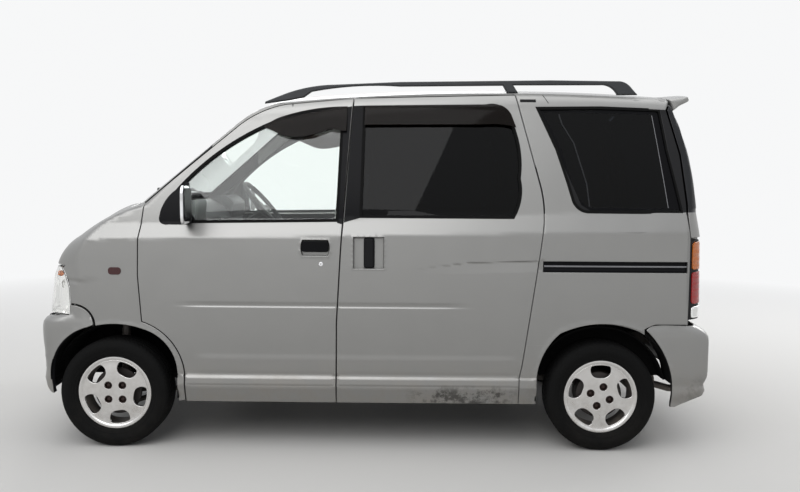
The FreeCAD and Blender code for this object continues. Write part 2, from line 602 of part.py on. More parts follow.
# Axles, knuckles and struts
TRAILING_ARM_Y = 375
SPRING_Y = 450
STUB_RADIUS = 22
rear_axle = [rod((REAR_AXLE, -560, AXLE_HEIGHT), (REAR_AXLE, 560, AXLE_HEIGHT), SIZE["axle_tube_radius"])]
rear_axle.append(rod((REAR_AXLE, -672, AXLE_HEIGHT), (REAR_AXLE, 672, AXLE_HEIGHT), STUB_RADIUS))
rear_axle.append(Part.makeSphere(95, Vector(REAR_AXLE, 0, AXLE_HEIGHT)))
rear_axle += [
    rod((REAR_AXLE, side * 555, AXLE_HEIGHT), (REAR_AXLE, side * 580, AXLE_HEIGHT), 110) for side in (-1, 1)]
piece("rear_axle", rear_axle[0].fuse(rear_axle[1:]))
axle_tube = rod((REAR_AXLE, -700, AXLE_HEIGHT), (REAR_AXLE, 700, AXLE_HEIGHT), SIZE["axle_tube_radius"] + 0.2)
trailing_arm = rod((REAR_AXLE, -TRAILING_ARM_Y, 268), (600, -TRAILING_ARM_Y, 318), 20).fuse(
    rod((602, -TRAILING_ARM_Y, 318), (602, -TRAILING_ARM_Y, 340), 16)).cut(axle_tube)
trailing_arm = max(trailing_arm.Solids, key=lambda solid: solid.Volume)
piece("trailing_arms", Part.makeCompound([trailing_arm, mirrored(trailing_arm)]))
spring = rod((REAR_AXLE - 45, -SPRING_Y, 285), (REAR_AXLE - 45, -SPRING_Y, 624), 45).cut(axle_tube)
damper = rod((REAR_AXLE + 20, -500, 280), (REAR_AXLE + 91, -500, 630), 16).cut(
    [axle_tube, block(1000, 1400, -600, -400, 624, 700)])
rear_springs = [spring.Solids[0], max(damper.Solids, key=lambda solid: solid.Volume)]
piece("rear_springs", Part.makeCompound(rear_springs + [mirrored(shape) for shape in rear_springs]))

BALL_JOINT = (FRONT_AXLE, -617, 165)
arm = rod((FRONT_AXLE, -330, 190), BALL_JOINT, 13).fuse([
    rod((-1080, -330, 200), (FRONT_AXLE, -540, 172), 13),
    rod((FRONT_AXLE, -375, 188), (FRONT_AXLE, -375, 340), 16),
    rod((-1110, -375, 196), (-1110, -375, 340), 16), rod(BALL_JOINT, (FRONT_AXLE, -615, 186), 6),
])
piece("front_suspension", Part.makeCompound([arm, mirrored(arm)]))
COIL_RADIUS = 44
knuckle = rod((FRONT_AXLE, -565, AXLE_HEIGHT), (FRONT_AXLE, -632, AXLE_HEIGHT), 45).fuse([
    rod((FRONT_AXLE, -632, AXLE_HEIGHT), (FRONT_AXLE, -674, AXLE_HEIGHT), STUB_RADIUS),
    rod((FRONT_AXLE, -583, AXLE_HEIGHT), (FRONT_AXLE, -589, AXLE_HEIGHT), 85),
    rod((FRONT_AXLE, -614, 190), (FRONT_AXLE, -602, 262), 15),
    rod((FRONT_AXLE, -575, 262), (FRONT_AXLE, -555, 350), 17),
    rod(STRUT_FOOT, (FRONT_AXLE, -530, 600), 21),
    rod((FRONT_AXLE, -531, 590), (FRONT_AXLE, -517, 760), COIL_RADIUS),
    rod((FRONT_AXLE, -518, 750), STRUT_TOP, 12),
    rod((FRONT_AXLE, -580, 250), (FRONT_AXLE + 110, -550, 250), 12),
])
for side, shape in half(knuckle):
    piece("knuckle_" + side, shape)


def origin_plane(turned_body, role):
    return [f for f in turned_body.Origin.OriginFeatures if f.Role == role][0]


def add_outline(sketch, points):
    """Adds straight and round edges to a sketch."""
    for edge in path(points):
        ends = [Vector(a, b, 0) for a, b in edge[1:]]
        if edge[0] == "arc":
            sketch.addGeometry(Part.Arc(*ends), False)
        else:
            sketch.addGeometry(Part.LineSegment(*ends), False)


def turned(name, points):
    """A body turned about its own Z axis from a half section of (radius, height)."""
    turned_body = doc.addObject("PartDesign::Body", name)
    sketch = turned_body.newObject("Sketcher::SketchObject", name + "_section")
    sketch.AttachmentSupport = [(origin_plane(turned_body, "XZ_Plane"), "")]
    sketch.MapMode = "FlatFace"
    add_outline(sketch, points)
    solid = turned_body.newObject("PartDesign::Revolution", name + "_turned")
    solid.Profile = sketch
    solid.ReferenceAxis = (sketch, ["V_Axis"])
    solid.Angle = 360
    turned_body.Tip = solid
    doc.recompute()
    return turned_body


RIM_R = SIZE["rim_radius"]
LIP = SIZE["rim_half_width"]
BORE = SIZE["hub_bore_radius"]
RIM_SECTION = [
    (BORE, -15), (46, -15), (46, 16), (62, 20), (80, 30), (118, 30), (146, 16), (146, -34), (160, -48),
    (176, -LIP), (RIM_R, -LIP), (RIM_R, -55), (167, -50), (164, -38), (152, -26), (152, 22), (164, 36), (167, 50),
    (RIM_R, 55), (RIM_R, LIP), (176, LIP), (160, 50), (150, 30), (120, 42), (76, 40), (58, 28), (BORE, 28),
]
SEAT_R = SIZE["tyre_seat_radius"]
TYRE_R = SIZE["tyre_radius"]
TYRE_HALF = SIZE["tyre_width"] / 2
TYRE_SECTION = [
    (SEAT_R, -64), (SEAT_R, 64), ((222, TYRE_HALF), (259, 71)), ((268, 65), (TYRE_R, 52)), (TYRE_R, -52),
    ((268, -65), (259, -71)), ((222, -TYRE_HALF), (SEAT_R, -64)),
]
WINDOW = [
    (88, -17), (92, -32), ((124, -44), (140, -38)), ((145, 0), (140, 38)), ((124, 44), (92, 32)), (88, 17),
]
WINDOW_COUNT = 5


def wheel(name, place):
    """A pressed disc wheel with five windows."""
    disc = turned(name, RIM_SECTION)
    sketch = disc.newObject("Sketcher::SketchObject", name + "_window")
    sketch.AttachmentSupport = [(origin_plane(disc, "XY_Plane"), "")]
    sketch.MapMode = "FlatFace"
    add_outline(sketch, WINDOW)
    window = disc.newObject("PartDesign::Pocket", name + "_opening")
    window.Profile = sketch
    window.Type = "Length"
    window.Length = 120
    window.Midplane = True
    disc.Tip = window
    doc.recompute()
    windows = disc.newObject("PartDesign::PolarPattern", name + "_windows")
    windows.Originals = [window]
    windows.Axis = (origin_plane(disc, "Z_Axis"), [""])
    windows.Angle = 360
    windows.Occurrences = WINDOW_COUNT
    disc.Tip = windows
    doc.recompute()
    disc.Placement = place
    return keep(disc, name)


# name, x, y of the middle plane
WHEELS = [
    ("front_left", FRONT_AXLE, -SIZE["front_track"] / 2),
    ("front_right", FRONT_AXLE, SIZE["front_track"] / 2),
    ("rear_left", REAR_AXLE, -SIZE["rear_track"] / 2),
    ("rear_right", REAR_AXLE, SIZE["rear_track"] / 2),
]
for name, x, y in WHEELS:
    outward = Rotation(Vector(0, 0, 1), Vector(0, math.copysign(1, y), 0))
    place = Placement(Vector(x, y, AXLE_HEIGHT), outward)
    wheel(name + "_wheel", place)
    tyre = turned(name + "_tyre", TYRE_SECTION)
    tyre.Placement = place
    keep(tyre, name + "_tyre")

# Steering wheel on its column
STEER_CENTRE = Vector(-718, 350, 1172)
STEER_AXIS = Vector(0.765, 0, 0.644)
ring = Part.makeTorus(SIZE["steering_wheel_radius"], SIZE["steering_rim_radius"])
hub = Part.makeCylinder(48, 40, Vector(0, 0, -45))
spokes = [Part.makeBox(180, 36, 14, Vector(0, -18, -20)) for i in range(3)]
for spoke, angle in zip(spokes, (0, 90, 180)):
    spoke.rotate(Vector(0, 0, 0), Vector(0, 0, 1), angle)
column = Part.makeCylinder(16, 150, Vector(0, 0, -190))
steering = ring.fuse([hub, column] + spokes)
piece("steering_wheel", steering, Placement(STEER_CENTRE, Rotation(Vector(0, 0, 1), STEER_AXIS)))

doc.recompute()
for obj in doc.Objects:
    if "Invalid" in obj.State or "Error" in obj.State:
        raise RuntimeError("%s failed: %s" % (obj.Name, obj.State))
for obj in NODES:
    if obj.Shape.isNull() or not obj.Shape.isValid():
        raise RuntimeError("%s has no valid shape" % obj.Label)
os.makedirs("parts", exist_ok=True)
for obj in NODES:
    obj.Shape.exportStep("parts/%s.step" % obj.Label)
    box = obj.Shape.BoundBox
    print("%-20s %d solids %8.2f l  x %6.0f %6.0f  y %6.0f %6.0f  z %6.0f %6.0f" % (
        obj.Label, len(obj.Shape.Solids), obj.Shape.Volume / 1e6,
        box.XMin, box.XMax, box.YMin, box.YMax, box.ZMin, box.ZMax))
print(len(NODES), "pieces")
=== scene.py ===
"""A small silver one-box van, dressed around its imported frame.

The outer panels are cut from one smooth body form, which is worked out from the same sections and
profile as the solids. Lengths in the tables are millimetres. +X runs to the rear, +Y to the car's
right and +Z up. The left side is made first, and its right twin is its mirror image.
"""
import math

import bpy
import numpy as np
from mathutils import Matrix, Vector
from mathutils.geometry import delaunay_2d_cdt


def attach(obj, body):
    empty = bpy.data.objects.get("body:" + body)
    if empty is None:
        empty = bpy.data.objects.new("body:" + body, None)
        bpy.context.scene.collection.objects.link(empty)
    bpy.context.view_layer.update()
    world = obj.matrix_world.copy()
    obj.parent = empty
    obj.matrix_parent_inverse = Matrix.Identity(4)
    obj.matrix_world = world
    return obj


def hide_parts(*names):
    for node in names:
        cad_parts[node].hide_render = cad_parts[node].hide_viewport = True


bl_info = {
    "name": "Kei Van Looks",
    "version": (1, 0, 0),
    "blender": (4, 5, 0),
    "location": "View3D > Sidebar > Kei Van",
    "description": "Builds the panels, glass, lamps, wheels and seats of a one-box kei van on its frame",
    "category": "Object",
}

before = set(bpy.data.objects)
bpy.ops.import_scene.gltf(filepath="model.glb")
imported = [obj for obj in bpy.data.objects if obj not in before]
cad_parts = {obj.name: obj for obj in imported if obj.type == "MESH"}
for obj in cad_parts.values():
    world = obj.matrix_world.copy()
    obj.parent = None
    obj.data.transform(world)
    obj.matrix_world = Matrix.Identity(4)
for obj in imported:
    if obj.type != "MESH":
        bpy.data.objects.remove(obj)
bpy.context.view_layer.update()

MM = 0.001
MIRROR = np.array([1, -1, 1])


# ---------------------------------------------------------------- the body's form

# x, half width, belt half width, belt z, shoulder z, top half width, roof edge half width
SECTIONS = np.array([
    (-1780, 722, 682, 1100, 1040, 586, 558),
    (-1330, 729, 690, 1110, 1046, 592, 564),
    (-700, 735, 699, 1128, 1056, 602, 572),
    (-100, 737.5, 705, 1146, 1067, 611, 577),
    (650, 737.5, 705, 1172, 1081, 613, 579),
    (1200, 735, 702, 1190, 1091, 611, 577),
    (1780, 720, 688, 1202, 1100, 600, 566),
], float)
# x, z, share of the crown, of the nose's rounding, of the tail's rounding
PROFILE = {
    "nose_low": (-1684, 60, 0, 1, 0),
    "nose_top": (-1655, 860, 0, 1, 0),
    "lip": (-1648, 927, 0.15, 0.95, 0),
    "bonnet_bend": (-1597, 1012, 0.33, 0.8, 0),
    "bonnet": (-1501, 1090, 0.57, 0.45, 0),
    "bonnet_rear": (-1352, 1194, 0.75, 0.3, 0),
    "cowl": (-1215, 1233, 0.3, 0.85, 0),
    "screen_top": (-680, 1678, 1, 0, 0),
    "header": (-570, 1747, 1, 0, 0),
    "roof_front": (-438, 1786, 1, 0, 0),
    "roof": (500, 1831, 1, 0, 0),
    "roof_rear": (1478, 1805, 1, 0, 0.6),
    "rear_glass": (1564, 1547, 0, 0, 1),
    "glass_sill": (1638, 1190, 0, 0, 1),
    "tail_bend": (1661, 1075, 0, 0, 1),
    "tail": (1671, 700, 0, 0, 1),
    "tail_low": (1671, 60, 0, 0, 1),
}
NOSE_CHAIN = [
    ("nose_low", "nose_top"), ("nose_top", "lip"), ("lip", "bonnet_bend", "bonnet"),
    ("bonnet", "bonnet_rear", "cowl"), ("cowl", "screen_top"), ("screen_top", "header", "roof_front"),
]
ROOF_CHAIN = [("screen_top", "header", "roof_front"), ("roof_front", "roof", "roof_rear")]
TAIL_CHAIN = [
    ("tail_low", "tail"), ("tail", "tail_bend"), ("tail_bend", "glass_sill"),
    ("glass_sill", "rear_glass", "roof_rear"),
]
SIDE_CHAIN = [(0, 1), (1, 2), (2, 3), (3, 4, 5), (5, 6), (6, 7, 8), (8, 9, 10), (10, 11)]
# distance from the middle, how far nose and tail are rounded back there
STATIONS = np.array([(0, 0, 0), (330, 17, 9), (570, 52, 27), (670, 100, 52), (745, 240, 150)], float)
CROWN, CROWN_HALF_WIDTH = 67.0, 620.0
ROOF_TOP_X, ROOF_DROP = 650.0, 25600.0
EDGE_BLEND = 12.0
CREASE_SOFTNESS = 5.0
FAR_INSIDE = -1e3
BLOCK = 4000
SECANT_ROUNDS, LONGEST_STEP, HALVINGS = 12, 90, 22


def spline(knots, values):
    """A natural cubic spline: between two knots a cubic whose second derivative runs straight."""
    knots = np.asarray(knots, float)
    values = np.asarray(values, float).reshape(len(knots), -1)
    gap = np.diff(knots)
    matrix, right = np.eye(len(knots)), np.zeros_like(values)
    for i in range(1, len(knots) - 1):
        matrix[i, i - 1:i + 2] = gap[i - 1], 2 * (gap[i - 1] + gap[i]), gap[i]
        right[i] = 6 * ((values[i + 1] - values[i]) / gap[i] - (values[i] - values[i - 1]) / gap[i - 1])
    bend = np.linalg.solve(matrix, right)

    def at(where):
        where = np.clip(np.asarray(where, float), knots[0], knots[-1])
        i = np.clip(np.searchsorted(knots, where) - 1, 0, len(gap) - 1)
        ahead, behind = (knots[i + 1] - where)[:, None], (where - knots[i])[:, None]
        span = gap[i][:, None]
        return ((bend[i] * ahead ** 3 + bend[i + 1] * behind ** 3) / (6 * span)
                + (values[i] / span - bend[i] * span / 6) * ahead
                + (values[i + 1] / span - bend[i + 1] * span / 6) * behind)
    return at


section_at = spline(SECTIONS[:, 0], SECTIONS[:, 1:])
rounding_at = spline(np.concatenate([-STATIONS[:0:-1, 0], STATIONS[:, 0]]),
                     np.concatenate([STATIONS[:0:-1, 1:], STATIONS[:, 1:]]))


def follow(chain, where):
    """Where a rising chain of lines and arcs passes one coordinate, its other one.

    On a line it is linear. On an arc it is the centre plus or minus the root of r^2 - d^2.
    """
    result = None
    for piece in chain:
        (pa, qa), (pc, qc) = piece[0], piece[-1]
        if len(piece) == 2:
            value = qa + (where - pa) * (qc - qa) / (pc - pa)
        else:
            pb, qb = piece[1]
            sa, sb, sc = pa ** 2 + qa ** 2, pb ** 2 + qb ** 2, pc ** 2 + qc ** 2
            twice = 2 * (pa * (qb - qc) + pb * (qc - qa) + pc * (qa - qb))
            p0 = (sa * (qb - qc) + sb * (qc - qa) + sc * (qa - qb)) / twice
            q0 = (sa * (pc - pb) + sb * (pa - pc) + sc * (pb - pa)) / twice
            held = np.clip(where, pa, pc)
            value = q0 + np.sign(qb - q0) * np.sqrt(np.maximum((pa - p0) ** 2 + (qa - q0) ** 2 - (held - p0) ** 2, 0))
        result = value if result is None else np.where(where >= pa, value, result)
    return result


def side_raw(x, z):
    """Half width of the sides along X and Z, with sharp creases."""
    wide, belt, belt_z, shoulder_z, top, edge = section_at(x).T
    drop = (x - ROOF_TOP_X) ** 2 / ROOF_DROP
    same = np.zeros_like(x)
    points = [
        (same + 120, wide - 60), (same + 318, wide - 2), (same + 360, wide - 5), (same + 366, wide - 12),
        (same + 700, wide), (shoulder_z, wide - 4), (belt_z, belt),
        ((belt_z + 1700 - drop) / 2, (belt + top) / 2 + 6), (1700 - drop, top), (1740 - drop, top - 10),
        (1776 - drop, edge - 6), (1990 - drop, same),
    ]
    return follow([[points[i] for i in piece] for piece in SIDE_CHAIN], z)


def side_y(x, z):
    """Half width of the sides: the section's lines and arcs, with its creases rounded over a few mm."""
    soft = np.interp(z, (450, 900), (1.2, CREASE_SOFTNESS))
    return (side_raw(x, z - soft) + side_raw(x, z + soft) + 2 * side_raw(x, z)) / 4


def profile_points(y):
    """The side view's corner points at a distance from the middle: crown and rounding pull them in."""
    nose, tail = rounding_at(y).T
    crown = CROWN * (y / CROWN_HALF_WIDTH) ** 2
    return {name: (x + nose_share * nose - tail_share * tail, z - crown_share * crown)
            for name, (x, z, crown_share, nose_share, tail_share) in PROFILE.items()}


def nose_x(points, z):
    return follow([[points[name][::-1] for name in piece] for piece in NOSE_CHAIN], z)


def tail_x(points, z):
    return follow([[points[name][::-1] for name in piece] for piece in TAIL_CHAIN], z)


def roof_z(points, x):
    return follow([[points[name] for name in piece] for piece in ROOF_CHAIN], x)


def outside(p):
    """How far points stand outside the body, in mm: the greatest of their distances from nose,
    roof and tail, and the smooth greatest of that and their distance from the side."""
    x, y, z = p.T
    wide = side_y(x, z)
    slope = (side_raw(x, z + 3) - side_raw(x, z - 3)) / 6
    from_side = (np.abs(y) - wide) / np.sqrt(1 + slope ** 2)
    points = profile_points(y)
    nose = nose_x(points, z)
    slope = (nose_x(points, z + 2) - nose) / 2
    from_nose = (nose - x) / np.sqrt(1 + slope ** 2)
    tail = tail_x(points, z)
    slope = (tail_x(points, z + 2) - tail) / 2
    from_tail = (x - tail) / np.sqrt(1 + slope ** 2)
    above = z - roof_z(points, x)
    above = np.where(x > points["roof_rear"][0], FAR_INSIDE, above)
    over = np.maximum(np.maximum(from_nose, from_tail), above)
    near = np.maximum(EDGE_BLEND - np.abs(over - from_side), 0)
    return np.maximum(over, from_side) + near ** 2 / (4 * EDGE_BLEND)


def form_normals(form, p):
    """Outward normals: the gradient of the distance, by differences of 1 mm."""
    n = np.stack([form(p + step) - form(p - step) for step in np.eye(3)], 1)
    return n / np.linalg.norm(n, axis=1)[:, None]


def hit(form, origins, directions, guess, low, high):
    """Where rays leave a form: the secant method on the distance along each ray, and halving of the
    span for the few rays that it leaves astray."""
    t0 = np.clip(guess, low, high).astype(float)
    t1 = np.clip(t0 - 6.0, low, high)
    g0 = form(origins + directions * t0[:, None])
    for _ in range(SECANT_ROUNDS):
        g1 = form(origins + directions * t1[:, None])
        change = np.where(np.abs(g1 - g0) > 1e-9, g1 - g0, 1.0)
        t2 = np.clip(t1 - np.clip(g1 * (t1 - t0) / change, -LONGEST_STEP, LONGEST_STEP), low, high)
        t0, g0, t1 = t1, g1, t2
        if np.abs(t1 - t0).max(initial=0) < 1e-4:
            break
    astray = np.abs(form(origins + directions * t1[:, None])) > 0.05
    if astray.any():
        start, way = origins[astray], directions[astray]
        inner, outer = np.full(len(start), low, float), np.full(len(start), high, float)
        for _ in range(HALVINGS):
            middle = (inner + outer) / 2
            out = form(start + way * middle[:, None]) > 0
            outer, inner = np.where(out, middle, outer), np.where(out, inner, middle)
        t1 = t1.copy()
        t1[astray] = outer
    return origins + directions * t1[:, None]


class Flat:
    """Parallel rays: a point's flat coordinates are its measures along two directions."""

    def __init__(self, toward, across, up, reach=1700, low=-2000, form=outside):
        self.toward, self.across, self.up = (np.array(v, float) for v in (toward, across, up))
        self.reach, self.low, self.form = reach, low, form

    def flat(self, p):
        return np.stack([p @ self.across, p @ self.up], 1)

    def on_body(self, ab):
        origins = ab[:, :1] * self.across + ab[:, 1:] * self.up
        directions = np.broadcast_to(self.toward, origins.shape)
        return hit(self.form, origins, directions, np.full(len(ab), self.reach, float), self.low, self.reach * 1.25)

    def run(self, line, spacing):
        """An open line of flat coordinates as close points on the body."""
        return self.on_body(dense(line, spacing, closed=False))


class Globe:
    """Rays from one point: flat coordinates are azimuth and elevation, each times a radius."""

    def __init__(self, centre, forward, radius, form=outside):
        self.form = form
        self.centre = np.array(centre, float)
        self.forward = np.array(forward, float) / np.linalg.norm(forward)
        self.aside = np.array([-self.forward[1], self.forward[0], 0])
        self.radius = radius

    def flat(self, p):
        v = p - self.centre
        f, s, u = v @ self.forward, v @ self.aside, v[:, 2]
        return np.stack([np.arctan2(s, f), np.arctan2(u, np.hypot(f, s))], 1) * self.radius

    def on_body(self, ab):
        a, b = ab.T / self.radius
        directions = (np.cos(b) * np.cos(a))[:, None] * self.forward + (np.cos(b) * np.sin(a))[:, None] * self.aside
        directions[:, 2] += np.sin(b)
        origins = np.broadcast_to(self.centre, directions.shape)
        return hit(self.form, origins, directions, np.full(len(ab), self.radius, float), 40, 1800)


def carried(ab, facing, other):
    """Flat coordinates of one view as those of another view of the body."""
    return other.flat(facing.on_body(ab))


# how the body is seen, for drawing on it
FROM_LEFT = Flat((0, -1, 0), (1, 0, 0), (0, 0, 1), reach=735, low=300)
FROM_ABOVE = Flat((0, 0, 1), (1, 0, 0), (0, 1, 0), reach=1800, low=900)
FROM_FRONT = Flat((-1, 0, 0), (0, -1, 0), (0, 0, 1), reach=1640, low=300)
FROM_REAR = Flat((1, 0, 0), (0, 1, 0), (0, 0, 1), reach=1660, low=1200)


# ---------------------------------------------------------------- outlines

def dense(outline, spacing=7.0, closed=True):
    """An outline of lines and arcs as close points. An arc is ((a, b) on it, (a, b) end)."""
    first = outline[0]
    last = np.array(first, float)
    runs = []
    for point in list(outline[1:]) + ([first] if closed else []):
        if isinstance(point[0], tuple):
            middle, end = (np.array(p, float) for p in point)
            (ax, ay), (bx, by), (cx, cy) = last, middle, end
            sa, sb, sc = last @ last, middle @ middle, end @ end
            twice = 2 * (ax * (by - cy) + bx * (cy - ay) + cx * (ay - by))
            centre = np.array([sa * (by - cy) + sb * (cy - ay) + sc * (ay - by),
                               sa * (cx - bx) + sb * (ax - cx) + sc * (bx - ax)]) / twice
            radius = np.linalg.norm(last - centre)
            turn = [math.atan2(*(p - centre)[::-1]) for p in (last, middle, end)]
            to_middle = (turn[1] - turn[0] + math.pi) % (2 * math.pi) - math.pi
            to_end = (turn[2] - turn[1] + math.pi) % (2 * math.pi) - math.pi + to_middle
            count = max(3, int(abs(to_end) * radius / spacing))
            angles = turn[0] + to_end * np.arange(count) / count
            runs.append(centre + radius * np.stack([np.cos(angles), np.sin(angles)], 1))
        else:
            end = np.array(point, float)
            length = np.linalg.norm(end - last)
            if length < 1e-6:
                continue
            count = max(1, int(length / spacing))
            runs.append(last + (end - last) * (np.arange(count) / count)[:, None])
        last = end
    if not closed:
        runs.append(last[None])
    return np.concatenate(runs)


def area(ab):
    """Signed area of a closed outline, positive where it runs anticlockwise."""
    return 0.5 * np.sum(ab[:, 0] * np.roll(ab[:, 1], -1) - np.roll(ab[:, 0], -1) * ab[:, 1])


def outward(ab):
    """Unit directions out of a closed outline at its points, and the miter length there."""
    ahead = np.roll(ab, -1, 0) - ab
    ahead /= np.maximum(np.linalg.norm(ahead, axis=1), 1e-9)[:, None]
    normal = np.stack([ahead[:, 1], -ahead[:, 0]], 1) * np.sign(area(ab))
    both = normal + np.roll(normal, 1, 0)
    both /= np.maximum(np.linalg.norm(both, axis=1), 1e-9)[:, None]
    miter = 1 / np.clip(np.sum(both * normal, 1), 0.45, 1)
    return both, miter


def grown(ab, distance):
    """The outline moved outwards, or inwards where the distance is negative."""
    direction, miter = outward(ab)
    return ab + direction * (miter * distance)[:, None]


def within(points, polygon):
    """Which points lie inside a closed polygon: the even-odd rule, all edges at once."""
    a, b = polygon, np.roll(polygon, -1, 0)
    found = np.zeros(len(points), bool)
    for start in range(0, len(points), BLOCK):
        x, y = points[start:start + BLOCK, 0, None], points[start:start + BLOCK, 1, None]
        crosses = (a[:, 1] > y) != (b[:, 1] > y)
        rise = np.where(b[:, 1] == a[:, 1], 1, b[:, 1] - a[:, 1])
        at = a[:, 0] + (y - a[:, 1]) * (b[:, 0] - a[:, 0]) / rise
        found[start:start + BLOCK] = (np.sum(crosses & (x < at), 1) % 2) == 1
    return found


def rounded(ab, times):
    """An outline with soft corners: its points averaged with their neighbours a number of times."""
    for _ in range(times):
        ab = (np.roll(ab, 1, 0) + 2 * ab + np.roll(ab, -1, 0)) / 4
    return ab


# ---------------------------------------------------------------- meshes

MATERIALS = {}
SHARP_ANGLE = math.radians(38)


def make_object(name, points, faces, normals=None, materials=(), face_materials=None):
    """A mesh object from points in mm. Its object stays at the origin."""
    mesh = bpy.data.meshes.new(name)
    counts = np.array([len(face) for face in faces])
    mesh.vertices.add(len(points))
    mesh.loops.add(int(counts.sum()))
    mesh.polygons.add(len(faces))
    mesh.loops.foreach_set("vertex_index", np.concatenate(list(faces)).astype(np.int32))
    mesh.polygons.foreach_set("loop_start", (np.cumsum(counts) - counts).astype(np.int32))
    mesh.vertices.foreach_set("co", (np.asarray(points, float) * MM).astype(np.float32).ravel())
    for material in materials:
        mesh.materials.append(MATERIALS[material])
    if face_materials is not None:
        mesh.polygons.foreach_set("material_index", np.asarray(face_materials, np.int32))
    mesh.polygons.foreach_set("use_smooth", np.ones(len(mesh.polygons), bool))
    mesh.update(calc_edges=True)
    mesh.validate()
    if normals is not None:
        mesh.normals_split_custom_set_from_vertices(normals.astype(np.float32))
    else:
        mesh.set_sharp_from_angle(angle=SHARP_ANGLE)
    obj = bpy.data.objects.new(name, mesh)
    bpy.context.scene.collection.objects.link(obj)
    return obj


def finish_piece(obj, body, replaces=()):
    """Sets what a piece rides on and hides the nodes it stands for."""
    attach(obj, body)
    if replaces:
        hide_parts(*replaces)
    return obj


def ring_faces(a, b):
    """Quads between two closed rings of the same length, given as their first indices and count."""
    (start_a, count), (start_b, _) = a, b
    i = np.arange(count)
    j = (i + 1) % count
    return np.stack([start_a + i, start_a + j, start_b + j, start_b + i], 1)


def grid_faces(rows, columns, close_rows=False, close_columns=False):
    """Quads of a grid of points stored row by row."""
    i = np.arange(rows if close_rows else rows - 1)[:, None]
    j = np.arange(columns if close_columns else columns - 1)[None, :]
    i2, j2 = (i + 1) % rows, (j + 1) % columns
    quads = np.stack(np.broadcast_arrays(i * columns + j, i * columns + j2, i2 * columns + j2, i2 * columns + j), 2)
    return quads.reshape(-1, 4)


def sheet_normals(form, p, relief):
    """A form's normals, tilted by the slope of a relief on it."""
    n = form_normals(form, p)
    if relief is None:
        return n
    here = relief(p)
    slope = np.stack([relief(p + step) - here for step in np.eye(3)], 1)
    slope -= np.sum(slope * n, 1)[:, None] * n
    n = n - slope
    return n / np.linalg.norm(n, axis=1)[:, None]


def cut_triangles(loops, grid):
    """Triangles between closed loops, the first the outer one, and the points inside, all turned
    anticlockwise. Their indices run through the loops and then the points."""
    edges, offset = [], 0
    for loop in loops:
        i = np.arange(len(loop))
        edges += np.stack([offset + i, offset + (i + 1) % len(loop)], 1).tolist()
        offset += len(loop)
    flat_points = np.concatenate(list(loops) + [grid])
    out_points, _, triangles, origins, _, _ = delaunay_2d_cdt(
        [Vector(p) for p in flat_points.tolist()], edges, [], 0, 1e-6, True)
    new_points = np.array([tuple(v) for v in out_points])
    index = np.array([o[0] if o else -1 for o in origins])
    triangles = np.array(triangles)
    centre = new_points[triangles].mean(1)
    keep = within(centre, loops[0]) & (index[triangles] >= 0).all(1)
    for loop in loops[1:]:
        keep &= ~within(centre, loop)
    triangles = triangles[keep]
    corners = new_points[triangles]
    ab, ac = corners[:, 1] - corners[:, 0], corners[:, 2] - corners[:, 0]
    turned = ab[:, 0] * ac[:, 1] - ab[:, 1] * ac[:, 0] < 0
    triangles[turned] = triangles[turned][:, ::-1]
    return index[triangles]


ROLL_ANGLES = np.radians((90, 60, 30, 0))


